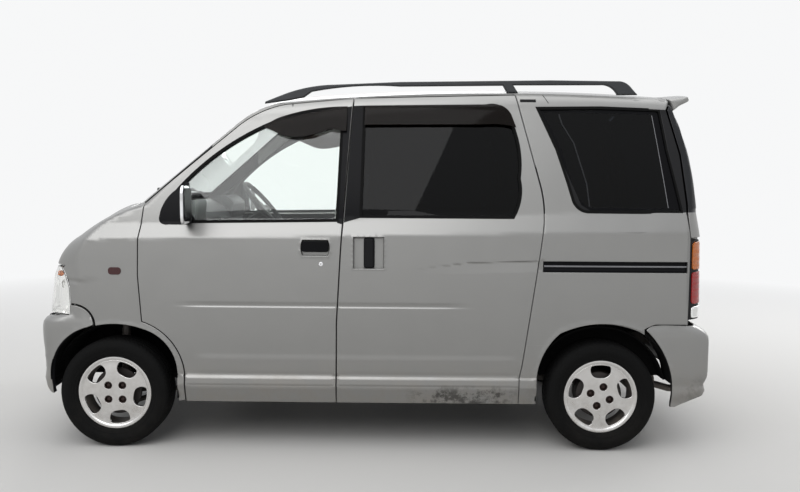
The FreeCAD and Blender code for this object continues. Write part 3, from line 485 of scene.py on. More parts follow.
def panel_arrays(facing, outline, holes=(), step=14.0, inset=0.0, roll=3.0, depth=18.0, lift=0.0, relief=None,
                 lines=(), wall=0):
    """A pressed panel cut from the body: points, faces, normals and which faces are its back.

    The body is read over a grid of rays inside the outline and over rings along it. The rim rolls
    over by a quarter circle: at angle t the ring stands r(1 - sin t) inside the edge and
    r(1 - cos t) deep, with t from 90 degrees at the edge to 0. A wall then goes back to the depth.
    Its finish is number `wall` of the piece's.
    """
    loops = [(grown(outline, -inset), 1.0)] + [(hole, -1.0) for hole in holes]
    points, normals, faces, rims = [], [], [], []
    total = 0
    for loop, sense in loops:
        if area(loop) * sense < 0:
            loop = loop[::-1]
        direction, miter = outward(loop)
        base = loop - direction * (sense * miter * roll)[:, None]
        inner = facing.on_body(base)
        n = sheet_normals(facing.form, inner, relief)
        rise = lift + (relief(inner) if relief is not None else np.zeros(len(inner)))
        ahead = np.roll(inner, -1, 0) - np.roll(inner, 1, 0)
        out = np.cross(ahead, n)
        out /= np.maximum(np.linalg.norm(out, axis=1), 1e-9)[:, None]
        top = inner + n * rise[:, None]
        start = total
        rings = [top + out * (miter * roll)[:, None] - n * depth]
        ring_normals = [out]
        for t in ROLL_ANGLES:
            rings.append(top + out * (miter * roll * math.sin(t))[:, None] - n * roll * (1 - math.cos(t)))
            ring_normals.append(out * math.sin(t) + n * math.cos(t))
        count = len(loop)
        for k, (ring, ring_n) in enumerate(zip(rings, ring_normals)):
            points.append(ring)
            normals.append(ring_n)
            if k:
                faces.append(ring_faces((start + (k - 1) * count, count), (start + k * count, count)))
            total += count
        rims.append((base, total - count, count, n))
    # the grid inside
    low, high = rims[0][0].min(0), rims[0][0].max(0)
    counts = np.maximum(2, ((high - low) / step).astype(int))
    xs = np.linspace(low[0], high[0], counts[0] + 1)
    ys = np.unique(np.concatenate([np.linspace(low[1], high[1], counts[1] + 1), np.asarray(lines, float)]))
    grid = np.stack(np.meshgrid(xs, ys, indexing="ij"), 2).reshape(-1, 2)
    keep = within(grid, grown(rims[0][0], -step * 0.42))
    for base, *_ in rims[1:]:
        keep &= ~within(grid, grown(base, step * 0.42))
    grid = grid[keep]
    triangles = cut_triangles([r[0] for r in rims], grid)
    body_points = facing.on_body(grid)
    n = sheet_normals(facing.form, body_points, relief)
    rise = lift + (relief(body_points) if relief is not None else np.zeros(len(body_points)))
    front = body_points + n * rise[:, None]
    points.append(front)
    normals.append(n)
    lookup = np.concatenate([np.arange(r[2]) + r[1] for r in rims] + [total + np.arange(len(grid))])
    total += len(grid)
    face_list = np.concatenate(faces).tolist() + lookup[triangles].tolist()
    marks = [0] * len(face_list)
    if wall:
        begin = 0
        for rim in rims:
            marks[begin:begin + rim[2]] = [wall] * rim[2]
            begin += rim[2] * len(ROLL_ANGLES)
    rings_each = len(ROLL_ANGLES) + 1
    points.append(np.concatenate([points[k * rings_each] for k in range(len(rims))] + [front - n * depth]))
    normals.append(np.concatenate([-rim[3] for rim in rims] + [-n]))
    face_list += (triangles[:, ::-1] + total).tolist()
    marks += [1] * len(triangles)
    return np.concatenate(points), face_list, np.concatenate(normals), marks


def slab_arrays(outline, low, high, roll, place, holes=()):
    """A plate with rounded edges: an outline carried from one level to the other. At angle t its
    ring stands r(1 - sin t) inside the outline and r(1 - cos t) from the level."""
    points, normals, faces, bases = [], [], [], []
    total = 0
    levels = [(low, -1, t) for t in ROLL_ANGLES[::-1]] + [(high, 1, t) for t in ROLL_ANGLES]
    for loop, sense in [(outline, 1.0)] + [(hole, -1.0) for hole in holes]:
        if area(loop) * sense < 0:
            loop = loop[::-1]
        direction, miter = outward(loop)
        direction = direction * sense
        count = len(loop)
        for k, (level, up, t) in enumerate(levels):
            ring = loop - direction * (miter * roll * (1 - math.sin(t)))[:, None]
            points.append(np.column_stack([ring, np.full(count, level - up * roll * (1 - math.cos(t)))]))
            normals.append(np.column_stack([direction * math.sin(t), np.full(count, up * math.cos(t))]))
            if k:
                faces.append(ring_faces((total - count, count), (total, count)))
            total += count
        bases.append((loop - direction * (miter * roll)[:, None], total - count * len(levels), total - count, count))
    triangles = cut_triangles([base[0] for base in bases], np.zeros((0, 2)))
    bottom = np.concatenate([np.arange(c) + first for _, first, _, c in bases])
    top = np.concatenate([np.arange(c) + last for _, _, last, c in bases])
    face_list = np.concatenate(faces).tolist() + top[triangles].tolist() + bottom[triangles][:, ::-1].tolist()
    points, normals = np.concatenate(points), np.concatenate(normals)
    placed = place(points)
    moved = place(points + normals) - placed
    return placed, face_list, moved / np.linalg.norm(moved, axis=1)[:, None], [0] * len(face_list)


def upright(p):
    """Plate coordinates (x, z, depth to the left) in the side view."""
    return np.column_stack([p[:, 0], -p[:, 2], p[:, 1]])


def facing_rear(p):
    """Plate coordinates (y, z, depth to the rear) in the view from behind."""
    return np.column_stack([p[:, 2], p[:, 0], p[:, 1]])


def at_height(z, azimuths, centre_x, form=outside):
    """Points on a form at one height, seen from a point on the middle plane at azimuths in degrees."""
    turn = np.radians(np.asarray(azimuths, float))
    directions = np.column_stack([np.cos(turn), np.sin(turn), np.zeros(len(turn))])
    origins = np.tile((centre_x, 0.0, float(z)), (len(turn), 1))
    return hit(form, origins, directions, np.full(len(turn), 650.0), 40, 1800)


def turned_out(points, faces):
    """Faces wound so that they point outwards: the sum of the signed volumes to the origin is positive."""
    faces = np.asarray(faces)
    a, b, c = points[faces[:, 0]], points[faces[:, 1]], points[faces[:, 2]]
    volume = np.sum(a * np.cross(b, c))
    if faces.shape[1] == 4:
        volume += np.sum(a * np.cross(c, points[faces[:, 3]]))
    return faces if volume > 0 else faces[:, ::-1]


def turned(profile, count=96, lowered=None):
    """A closed section (radius, height) carried round the Y axis: (r cos a, -h, r sin a). A function of
    radius, height and angle may lower the radius."""
    radius, height = np.asarray(profile, float).T
    angle = (np.arange(count) * 2 * math.pi / count)[:, None]
    radius, height = (np.broadcast_to(v, (count, len(profile))) for v in (radius, height))
    if lowered:
        radius = lowered(radius, height, angle)
    points = np.stack([np.cos(angle) * radius, -height, np.sin(angle) * radius], 2).reshape(-1, 3)
    return points, turned_out(points, grid_faces(count, len(profile), close_rows=True, close_columns=True))


def capped(points, rows, columns):
    """Outward faces of closed rings stored row by row, with fans at the ends to the last two points."""
    quads = grid_faces(rows, columns, close_columns=True)
    ring, first_tip, last_row = np.arange(columns), len(points) - 2, (rows - 1) * columns
    edges = list(zip(ring.tolist(), np.roll(ring, -1).tolist()))
    faces = quads.tolist() + [[first_tip, b, a] for a, b in edges]
    faces += [[first_tip + 1, last_row + a, last_row + b] for a, b in edges]
    inside_out = turned_out(points, quads)[0, 0] != quads[0, 0]
    return [face[::-1] for face in faces] if inside_out else faces


def tube(path, radius, sides=12, flat=1.0):
    """A rod of round or flattened section carried along a path, with ends drawn together to points
    just past them. Each ring is centre + r (cos a * u + flat * sin a * v), with u and v across the path."""
    path = np.asarray(path, float)
    ahead = np.gradient(path, axis=0)
    ahead /= np.linalg.norm(ahead, axis=1)[:, None]
    up = np.where(np.abs(ahead[:, 2:]) > 0.9, (1.0, 0, 0), (0, 0, 1.0))
    u = np.cross(ahead, up)
    u /= np.linalg.norm(u, axis=1)[:, None]
    v = np.cross(u, ahead)
    path = np.concatenate([path[:1] - ahead[:1] * radius * 0.15, path, path[-1:] + ahead[-1:] * radius * 0.15])
    u, v = (np.concatenate([w[:1], w, w[-1:]]) for w in (u, v))
    scale = np.full(len(path), 1.0) * radius
    scale[[0, -1]] *= 0.6
    a = np.arange(sides) * 2 * math.pi / sides
    rings = path[:, None] + scale[:, None, None] * (
        np.cos(a)[None, :, None] * u[:, None] + flat * np.sin(a)[None, :, None] * v[:, None])
    points = np.concatenate([rings.reshape(-1, 3), path[:1], path[-1:]])
    return points, capped(points, len(path), sides)


def merged(parts):
    """Several (points, faces) as one."""
    points, faces, total = [], [], 0
    for part_points, part_faces in parts:
        points.append(np.asarray(part_points, float))
        faces += [[i + total for i in face] for face in np.asarray(part_faces, dtype=object).tolist()]
        total += len(part_points)
    return np.concatenate(points), faces


def pillow(low, high, power=4.0, rows=36, columns=48):
    """A rounded block: a superellipsoid |x/a|^n + |y/b|^n + |z/c|^n = 1 scaled into a box."""
    low, high = np.array(low, float), np.array(high, float)
    v = np.linspace(-math.pi / 2, math.pi / 2, rows + 2)[1:-1]
    u = np.arange(columns) * 2 * math.pi / columns
    direction = np.stack([
        np.cos(v)[:, None] * np.cos(u), np.cos(v)[:, None] * np.sin(u),
        np.broadcast_to(np.sin(v)[:, None], (rows, columns))], 2).reshape(-1, 3)
    direction = np.concatenate([direction, [(0, 0, -1.0), (0, 0, 1.0)]])
    direction = np.sign(direction) * np.abs(direction) ** 0.75
    length = (np.abs(direction) ** power).sum(1) ** (-1 / power)
    points = (low + high) / 2 + direction * length[:, None] * (high - low) / 2
    return points, capped(points, rows, columns)


def mirrored_arrays(points, faces, normals=None, marks=None):
    """A piece's arrays on the other side of the middle plane, with its faces turned over."""
    normals = None if normals is None else normals * MIRROR
    return points * MIRROR, [face[::-1] for face in faces], normals, marks


# ---------------------------------------------------------------- materials

GROUPS = {}


def new_group(name, inputs, outputs):
    """A shader node group: inputs are (name, default), outputs are (name, socket type)."""
    group = bpy.data.node_groups.new(name, "ShaderNodeTree")
    for socket, default in inputs:
        made = group.interface.new_socket(socket, in_out="INPUT", socket_type="NodeSocketFloat")
        made.default_value = default
    for socket, kind in outputs:
        group.interface.new_socket(socket, in_out="OUTPUT", socket_type=kind)
    GROUPS[name] = group
    return group, group.nodes.new("NodeGroupInput"), group.nodes.new("NodeGroupOutput")


def object_coords(tree):
    """A piece's own coordinates, in metres."""
    return tree.nodes.new("ShaderNodeTexCoord").outputs["Object"]


def split(tree, vector):
    """The X, Y and Z of a vector."""
    apart = tree.nodes.new("ShaderNodeSeparateXYZ")
    tree.links.new(vector, apart.inputs[0])
    return apart.outputs


def math_node(tree, operation, a, b=None, clamp=False):
    node = tree.nodes.new("ShaderNodeMath")
    node.operation, node.use_clamp = operation, clamp
    for socket, value in zip(node.inputs, (a, b)):
        if value is None:
            continue
        if isinstance(value, (int, float)):
            socket.default_value = value
        else:
            tree.links.new(value, socket)
    return node.outputs[0]


def times_plus(tree, value, factor, offset, clamp=False):
    """The value times a factor plus an offset."""
    result = math_node(tree, "MULTIPLY_ADD", value, factor, clamp)
    result.node.inputs[2].default_value = offset
    return result


def noise_node(tree, coords, scale, detail=3.0, roughness=0.5):
    node = tree.nodes.new("ShaderNodeTexNoise")
    node.inputs["Detail"].default_value = detail
    node.inputs["Roughness"].default_value = roughness
    if isinstance(scale, (int, float)):
        node.inputs["Scale"].default_value = scale
    else:
        tree.links.new(scale, node.inputs["Scale"])
    tree.links.new(coords, node.inputs["Vector"])
    return node.outputs["Fac"]


def build_groups():
    """Grain: fine relief from two noises. Grime: a mask that grows towards the ground, broken up by
    noise. Scuffs: long thin marks, from a noise stretched along X. Smudge: dark patches low on the
    body between two X planes. Weave: crossed threads."""
    group, given, put = new_group("Grain", [("Scale", 600), ("Amount", 0.5)],
                                  [("Height", "NodeSocketFloat"), ("Shade", "NodeSocketFloat")])
    coords = object_coords(group)
    fine = noise_node(group, coords, given.outputs["Scale"], 4)
    wide = noise_node(group, coords, 7.0, 5)
    group.links.new(math_node(group, "MULTIPLY", fine, given.outputs["Amount"]), put.inputs["Height"])
    group.links.new(wide, put.inputs["Shade"])

    group, given, put = new_group("Grime", [("Top", 0.45), ("Reach", 0.25), ("Amount", 0.5), ("Scale", 9.0)],
                                  [("Mask", "NodeSocketFloat")])
    coords = object_coords(group)
    below = math_node(group, "SUBTRACT", given.outputs["Top"], split(group, coords)["Z"])
    share = math_node(group, "DIVIDE", below, given.outputs["Reach"], clamp=True)
    patches = noise_node(group, coords, given.outputs["Scale"], 8, 0.65)
    patches = times_plus(group, patches, 3.2, -1.15, clamp=True)
    mask = math_node(group, "MULTIPLY", math_node(group, "MULTIPLY", share, patches), given.outputs["Amount"])
    group.links.new(mask, put.inputs["Mask"])

    group, given, put = new_group("Scuffs", [("Amount", 0.5), ("Threshold", 0.66)], [("Mask", "NodeSocketFloat")])
    coords = object_coords(group)
    stretch = group.nodes.new("ShaderNodeMapping")
    stretch.inputs["Scale"].default_value = (3.0, 30.0, 90.0)
    stretch.inputs["Rotation"].default_value = (0.0, 0.06, 0.0)
    group.links.new(coords, stretch.inputs["Vector"])
    marks = noise_node(group, stretch.outputs[0], 1.6, 7, 0.62)
    over = math_node(group, "SUBTRACT", marks, given.outputs["Threshold"])
    over = math_node(group, "MULTIPLY", over, 14.0, clamp=True)
    group.links.new(math_node(group, "MULTIPLY", over, given.outputs["Amount"]), put.inputs["Mask"])

    group, given, put = new_group("Smudge", [("From", 0.2), ("To", 0.75), ("Top", 0.34), ("Amount", 0.6)],
                                  [("Mask", "NodeSocketFloat")])
    coords = object_coords(group)
    spot = split(group, coords)
    after, before, under = (
        math_node(group, "MULTIPLY", math_node(group, "SUBTRACT", high, low), sharpness, clamp=True)
        for high, low, sharpness in ((spot["X"], given.outputs["From"], 6.0), (given.outputs["To"], spot["X"], 9.0),
                                     (given.outputs["Top"], spot["Z"], 22.0)))
    patches = math_node(group, "SUBTRACT", noise_node(group, coords, 24.0, 9, 0.72), 0.46)
    patches = math_node(group, "MULTIPLY", patches, 9.0, clamp=True)
    mask = math_node(group, "MULTIPLY", math_node(group, "MULTIPLY", after, before), under)
    mask = math_node(group, "MULTIPLY", math_node(group, "MULTIPLY", mask, patches), given.outputs["Amount"])
    group.links.new(mask, put.inputs["Mask"])

    group, given, put = new_group("Weave", [("Scale", 900)],
                                  [("Height", "NodeSocketFloat"), ("Shade", "NodeSocketFloat")])
    coords = object_coords(group)
    scaled = group.nodes.new("ShaderNodeVectorMath")
    scaled.operation = "SCALE"
    group.links.new(coords, scaled.inputs[0])
    group.links.new(given.outputs["Scale"], scaled.inputs["Scale"])
    spot = split(group, scaled.outputs[0])
    warp = math_node(group, "SINE", spot["Y"])
    weft = math_node(group, "SINE", math_node(group, "ADD", spot["X"], spot["Z"]))
    crossed = math_node(group, "MULTIPLY", warp, weft)
    group.links.new(crossed, put.inputs["Height"])
    speck = noise_node(group, coords, 160.0, 3)
    group.links.new(speck, put.inputs["Shade"])


def group_node(tree, name, **values):
    node = tree.nodes.new("ShaderNodeGroup")
    node.node_tree = GROUPS[name]
    for socket, value in values.items():
        node.inputs[socket].default_value = value
    return node


def mix_colour(tree, factor, a, b):
    node = tree.nodes.new("ShaderNodeMix")
    node.data_type = "RGBA"
    tree.links.new(factor, node.inputs["Factor"])
    for socket, value in ((node.inputs[6], a), (node.inputs[7], b)):
        if isinstance(value, tuple):
            socket.default_value = (*value[:3], 1)
        else:
            tree.links.new(value, socket)
    return node.outputs[2]


def shaded(colour, factor):
    """A colour made darker or lighter by a factor."""
    return tuple(min(1.0, c * factor) for c in colour[:3])


DUST, DIRT = (0.30, 0.26, 0.21), (0.035, 0.032, 0.028)


def make_material(name, colour, roughness=0.5, metallic=0.0, grain=0.0, grain_scale=600, spread=0.08,
                  grime=None, scuffs=0.0, smudges=(), weave=0, rough_spread=0.1, bump=0.002, **sockets):
    """A Principled finish whose colour, roughness and relief vary over the surface."""
    material = bpy.data.materials.new(name)
    material.use_nodes = True
    tree = material.node_tree
    shader = tree.nodes["Principled BSDF"]
    shader.inputs["Metallic"].default_value = metallic
    for socket, value in sockets.items():
        shader.inputs[socket.replace("_", " ").title().replace("Ior", "IOR")].default_value = value
    source = group_node(tree, "Weave", Scale=weave) if weave else group_node(
        tree, "Grain", Scale=grain_scale, Amount=1.0)
    base = mix_colour(tree, source.outputs["Shade"], shaded(colour, 1 - spread), shaded(colour, 1 + spread))
    shader.inputs["Roughness"].default_value = roughness
    if rough_spread:
        rough = times_plus(tree, source.outputs["Shade"], 2 * rough_spread * roughness, roughness * (1 - rough_spread))
    if scuffs:
        marks = group_node(tree, "Scuffs", Amount=scuffs)
        base = mix_colour(tree, marks.outputs[0], base, shaded(colour, 1.5))
        rough = math_node(tree, "ADD", rough, math_node(tree, "MULTIPLY", marks.outputs[0], 0.25))
    if grime:
        top, reach, amount, scale = grime
        mask = group_node(tree, "Grime", Top=top, Reach=reach, Amount=amount, Scale=scale)
        base = mix_colour(tree, mask.outputs[0], base, DUST)
        rough = math_node(tree, "ADD", rough, math_node(tree, "MULTIPLY", mask.outputs[0], 0.45), clamp=True)
    for start, end, top, amount in smudges:
        mask = group_node(tree, "Smudge", From=start, To=end, Top=top, Amount=amount)
        base = mix_colour(tree, mask.outputs[0], base, DIRT)
    tree.links.new(base, shader.inputs["Base Color"])
    if rough_spread:
        tree.links.new(rough, shader.inputs["Roughness"])
    if grain or weave:
        relief = tree.nodes.new("ShaderNodeBump")
        relief.inputs["Strength"].default_value = grain or 0.35
        relief.inputs["Distance"].default_value = bump
        tree.links.new(source.outputs["Height"], relief.inputs["Height"])
        tree.links.new(relief.outputs[0], shader.inputs["Normal"])
    MATERIALS[name] = material
    return material


def paint_zone(name, axis, start, slope, low, high, colour):
    """Gives a finish another colour between two heights where |axis| > start - slope (Z - low), in metres."""
    tree = MATERIALS[name].node_tree
    shader = tree.nodes["Principled BSDF"]
    spot = split(tree, object_coords(tree))
    height = spot["Z"]
    way = math_node(tree, "ABSOLUTE", spot[axis])
    lean = math_node(tree, "MULTIPLY", math_node(tree, "SUBTRACT", height, low), slope)
    way = math_node(tree, "ADD", way, lean)
    mask = math_node(tree, "GREATER_THAN", way, start)
    mask = math_node(tree, "MULTIPLY", mask, math_node(tree, "GREATER_THAN", height, low))
    mask = math_node(tree, "MULTIPLY", mask, math_node(tree, "LESS_THAN", height, high))
    base = shader.inputs["Base Color"].links[0].from_socket
    tree.links.new(mix_colour(tree, mask, base, colour), shader.inputs["Base Color"])


def build_materials(looks):
    """Every finish on the van, by name."""
    build_groups()
    paint, glass = tuple(looks.paint), tuple(looks.glass_tint)
    make_material("silver_paint", paint, 0.40, metallic=0.8, spread=0.03, grime=(0.50, 0.34, 0.5, 7.0),
                  scuffs=0.12, smudges=((0.16, 0.74, 0.335, 0.75), (0.74, 0.90, 0.40, 0.35), (1.5, 1.68, 0.40, 0.5)),
                  coat_weight=0.35, coat_roughness=0.17)
    make_material("frame_paint", shaded(paint, 0.85), 0.45, metallic=0.6, spread=0.05)
    paint_zone("frame_paint", "X", 0.80, 0.0, 1.18, 1.698, (0.008, 0.008, 0.009))
    for name, axis, start, slope, high, colour in (
            ("quarter_paint", "X", 1.508, 0.20, 1.695, (0.006, 0.006, 0.007)),
            ("tail_paint", "Y", 0.579, 0.153, 1.726, (0.022, 0.022, 0.024))):
        material = MATERIALS["silver_paint"].copy()
        material.name = name
        MATERIALS[name] = material
        paint_zone(name, axis, start, slope, 1.190, high, colour)
    make_material("inner_paint", shaded(paint, 0.75), 0.5, metallic=0.4, spread=0.05)
    make_material("trim_black", (0.007, 0.007, 0.008), 0.5, grain=0.25, spread=0.2, specular_ior_level=0.14)
    make_material("liner_black", (0.004, 0.004, 0.004), 0.9, spread=0.2, specular_ior_level=0.1)
    make_material("gloss_black", (0.004, 0.004, 0.005), 0.22, spread=0.1, specular_ior_level=0.09)
    make_material("trim_grey", (0.020, 0.021, 0.023), 0.55, grain=0.3, spread=0.12, specular_ior_level=0.2)
    make_material("trim_pale", (0.20, 0.20, 0.21), 0.45, spread=0.15)
    make_material("rail_grey", (0.035, 0.037, 0.04), 0.5, grain=0.35, spread=0.2, specular_ior_level=0.35)
    make_material("rubber", (0.005, 0.005, 0.005), 0.75, grain=0.4, grain_scale=900, spread=0.25,
                  grime=(0.30, 0.55, 0.05, 14.0), specular_ior_level=0.1)
    make_material("clear_glass", (0.93, 0.97, 0.95), 0.0, spread=0.01, rough_spread=0.0,
                  transmission_weight=1.0, ior=1.45)
    make_material("tinted_glass", glass, 0.02, spread=0.05, rough_spread=0.0, transmission_weight=1.0, ior=1.25)
    make_material("visor_smoke", (0.022, 0.016, 0.013), 0.06, spread=0.05, rough_spread=0.0,
                  transmission_weight=0.75, ior=1.18)
    make_material("chrome", (0.83, 0.83, 0.84), 0.07, metallic=1.0, spread=0.04, grime=(0.42, 0.4, 0.18, 20.0))
    # The wheel's wide colour spread is partly tone that varies at random and partly a painted reflection: it stands for
    # the speckle of gravel mirrored in the chrome. The fine grain bump gives the same speckle in the relief.
    make_material("wheel_metal", (0.70, 0.69, 0.68), 0.16, metallic=1.0, spread=0.12, grain=0.10, grain_scale=420,
                  grime=(0.60, 0.6, 0.45, 26.0), bump=0.001)
    make_material("steel_dark", (0.10, 0.09, 0.085), 0.55, metallic=0.6, grain=0.5, spread=0.3,
                  grime=(0.8, 0.6, 0.5, 12.0))
    make_material("brake_iron", (0.035, 0.030, 0.028), 0.6, metallic=0.5, grain=0.4, spread=0.4)
    make_material("underbody", (0.030, 0.029, 0.028), 0.75, grain=0.6, grain_scale=220, spread=0.3,
                  grime=(0.8, 0.6, 0.45, 9.0))
    make_material("engine_iron", (0.16, 0.16, 0.165), 0.5, metallic=0.7, grain=0.6, grain_scale=240, spread=0.2,
                  grime=(0.8, 0.6, 0.5, 11.0))
    make_material("lamp_clear", (0.95, 0.95, 0.94), 0.02, spread=0.02, transmission_weight=1.0, ior=1.49)
    make_material("lamp_red", (0.55, 0.012, 0.010), 0.08, spread=0.05, transmission_weight=0.35, ior=1.49)
    make_material("lamp_amber", (0.85, 0.22, 0.02), 0.08, spread=0.05, transmission_weight=0.35, ior=1.49)
    make_material("marker_red", (0.045, 0.006, 0.007), 0.2, spread=0.1)
    make_material("reflector", (0.85, 0.85, 0.84), 0.12, metallic=1.0, spread=0.04)
    make_material("seat_cloth", (0.13, 0.135, 0.15), 0.9, weave=1800, spread=0.35, sheen_weight=0.35)
    make_material("seat_side", (0.07, 0.072, 0.08), 0.85, weave=1400, spread=0.25, sheen_weight=0.25)
    make_material("carpet", (0.045, 0.045, 0.048), 0.95, grain=0.8, grain_scale=1100, spread=0.3)
    # These cabin finishes are darker than their own colours, to paint the shade inside the closed cabin. The
    # headlining's grey is painted shade. The dash and door cards are partly their own dark plastic and partly painted
    # shade.
    make_material("dash_plastic", (0.022, 0.023, 0.026), 0.6, grain=0.35, grain_scale=800, spread=0.1)
    make_material("door_card", (0.035, 0.036, 0.04), 0.65, grain=0.35, grain_scale=700, spread=0.1)
    make_material("headlining", (0.16, 0.155, 0.145), 0.9, grain=0.4, grain_scale=900, spread=0.06)
    make_material("plate_white", (0.78, 0.78, 0.74), 0.35, spread=0.03)
    # Dark brown of the lug nuts, also given to the cups that line their recesses, where it paints the shade inside the
    # holes.
    make_material("lug_brown", (0.030, 0.017, 0.014), 0.5, metallic=0.5, grain=0.4, spread=0.3)


# ---------------------------------------------------------------- outlines of the panels

FRONT_DOOR = [
    (-930, 228), (-929, 350), ((-985, 525), (-1137, 634)), (-1153, 867), (-1150, 1039),
    (-1132, 1219), (-690, 1592), ((-600, 1656), (-440, 1716)), (-97, 1748),
    ((-123, 1420), (-153, 1000)), (-173, 640), (-176, 228),
]
SLIDING_DOOR = [
    (-176, 228), (-173, 640), (-153, 1000), ((-123, 1420), (-97, 1748)), (705, 1768),
    (823, 1320), ((840, 1222), (841, 1130)), (822, 980), (777, 660), (745, 430), (731, 360), (731, 228),
]
FRONT_WINDOW = [
    (-1018, 1120), (-1040, 1162), (-967, 1284), ((-740, 1490), (-488, 1628)),
    ((-310, 1678), (-150, 1693)), (-172, 1140), (-895, 1128),
]
SLIDING_WINDOW = [
    (-44, 1700), (-57, 1160), (690, 1160), ((719, 1230), (720, 1350)), ((706, 1560), (667, 1660)),
    ((630, 1696), (560, 1706)), (132, 1704),
]
QUARTER_WINDOW = [
    (812, 1699), (904, 1494), (955, 1338), (980, 1254), ((1009, 1207), (1056, 1189)), (1520, 1187), (1450, 1496),
    (1418, 1694), (1123, 1703)]
FRONT_ARCH = [
    (-1590, 60), (-1590, 330), ((-1540, 517), (-1411, 602)), ((-1290, 621), (-1132, 597)),
    ((-1022, 526), (-968, 380)), (-968, 60),
]
REAR_ARCH = [
    (816, 60), (816, 350), ((840, 470), (927, 593)), ((1125, 642), (1318, 603)),
    ((1430, 500), (1482, 330)), (1482, 60),
]
FRONT_HANDLE = [(-340, 968), (-215, 968), ((-206, 1006), (-215, 1045)), (-340, 1045), ((-349, 1006), (-340, 968))]
SLIDE_HANDLE = [(-92, 906), (60, 906), (60, 1061), (-92, 1061)]
SLIDE_RAIL = [(833, 895), (1542, 895), (1542, 949), (825, 949)]
# the quarter panel, from the door's rear gap to the tailgate's side gap, over the arch
QUARTER = [
    (734, 232), (734, 360), (748, 430), (780, 660), (825, 980), (844, 1130), ((843, 1222), (826, 1320)),
    (709, 1767), (1440, 1757), (1462, 1752), (1447, 1694), (1505, 1471), (1533, 1227), (1535, 1183),
    (1548, 1058), (1548, 643), (1400, 643), ((1366, 630), (1325, 606)), ((1125, 642), (927, 593)),
    ((840, 470), (816, 350)), (816, 232),
]
FENDER_SIDE = [
    (-1550, 908), (-1519, 853), (-1500, 801), (-1492, 719), (-1476, 719), ((-1413, 699), (-1369, 619)), (-1366, 611),
    ((-1290, 621), (-1132, 597)), ((-1022, 526), (-968, 380)), (-968, 228), (-930, 232), (-929, 350),
    ((-985, 525), (-1137, 634)), (-1153, 867), (-1150, 1039), (-1132, 1212),
]
SCREEN = [(598, 1240), (-598, 1240), (-566, 1480), (-530, 1690), (530, 1690), (566, 1480)]
REAR_WINDOW = [(-572, 1135), (572, 1135), (545, 1400), (505, 1680), (-505, 1680), (-545, 1400)]
RAIL = [
    (-549, 1720), (-545, 1730), (-448, 1768), ((-340, 1799), (-200, 1815)), (130, 1830), (881, 1842), (1215, 1839),
    ((1255, 1832), (1281, 1813)), (1318, 1772), (1218, 1771), ((1192, 1803), (1131, 1820)), (697, 1817), (722, 1779),
    (667, 1779), (646, 1815), (130, 1808), ((-221, 1795), (-312, 1780)), (-352, 1752), (-420, 1738),
]
SPOILER = [(1484, 1803), (1600, 1811), ((1613, 1806), (1611, 1786)), (1556, 1768), (1506, 1740)]
# black films on the door frames between the side windows
PILLAR_FRONT = [(-172, 1128), (-148, 1696), (-106, 1704), ((-127, 1420), (-146, 1122))]
PILLAR_SLIDE = [(-139, 1130), ((-119, 1420), (-99, 1706)), (-44, 1708), (-57, 1154)]
SAIL = [
    (-1030, 1114), ((-1050, 1126), (-1053, 1150)), ((-1038, 1206), (-958, 1296)), (-912, 1332), (-905, 1240),
    (-905, 1114)]
QUARTER_SIGHT = [(842, 1682), (932, 1490), (980, 1340), ((1004, 1262), (1066, 1212)), (1449, 1210), (1379, 1674)]
QUARTER_SEAM = [(915, 1672), (931, 1620), (987, 1527), (1014, 1438), (1047, 1328), (1061, 1216)]
VISOR_FRONT = [
    (-545, 1598), ((-500, 1632), (-455, 1652)), ((-310, 1688), (-128, 1703)), (-131, 1571), (-214, 1585),
    ((-290, 1556), (-362, 1544)), ((-415, 1545), (-462, 1559)), (-538, 1594)]
VISOR_SLIDE = [
    (-43, 1604), (-41, 1708), (560, 1716), ((640, 1706), (680, 1664)), (704, 1596), ((640, 1610), (560, 1610)),
    (0, 1606)]
PILLAR_QUARTER = [(1421, 1698), (1443, 1698), (1504, 1471), (1531, 1227), (1533, 1188), (1521, 1188), (1453, 1496)]
TAIL_STRIP_EDGE = [(1485, 1736), (1461, 1694), (1520, 1471), (1547, 1230), (1550, 1190)]
FRONT_BUMPER_EDGE = [
    (-1600, 665), (-1545, 667), (-1500, 668), (-1494, 714), (-1478, 714), ((-1418, 694), (-1374, 616)), (-1408, 603),
    ((-1540, 517), (-1590, 330)), (-1590, 264), (-1612, 261)]
REAR_BUMPER_EDGE = [
    (1600, 636), (1433, 640), (1394, 637), ((1364, 628), (1347, 611)), ((1432, 500), (1482, 330)), (1482, 222),
    (1506, 222), (1600, 265), (1640, 280)]
HEADLAMP_SIDE = [(-1548, 901), (-1522, 851), (-1503, 800), (-1496, 708), (-1499, 664)]
SPOILER_DROP = 52.0
BONNET_HALF = 602
FENDER_INNER = 608
GUTTER = 573

# height, how far the bumper's face is set back there
FRONT_BUMPER_FACE = np.array([
    (240, 62), (259, 36), (284, 16), (330, 7), (349, 5), (372, 12), (458, 9), (543, 1), (600, 0), (622, 3), (638, 12),
    (650, 30), (660, 62), (667, 98), (676, 102), (760, 102)], float)
REAR_BUMPER_FACE = np.array([
    (200, 104), (240, 60), (262, 38), (276, 20), (288, 12), (302, 10), (316, 14), (330, 19), (342, 17), (358, 8),
    (374, 2), (400, 0), (552, 0), (578, 3), (603, 22), (622, 50), (640, 92), (700, 160)], float)


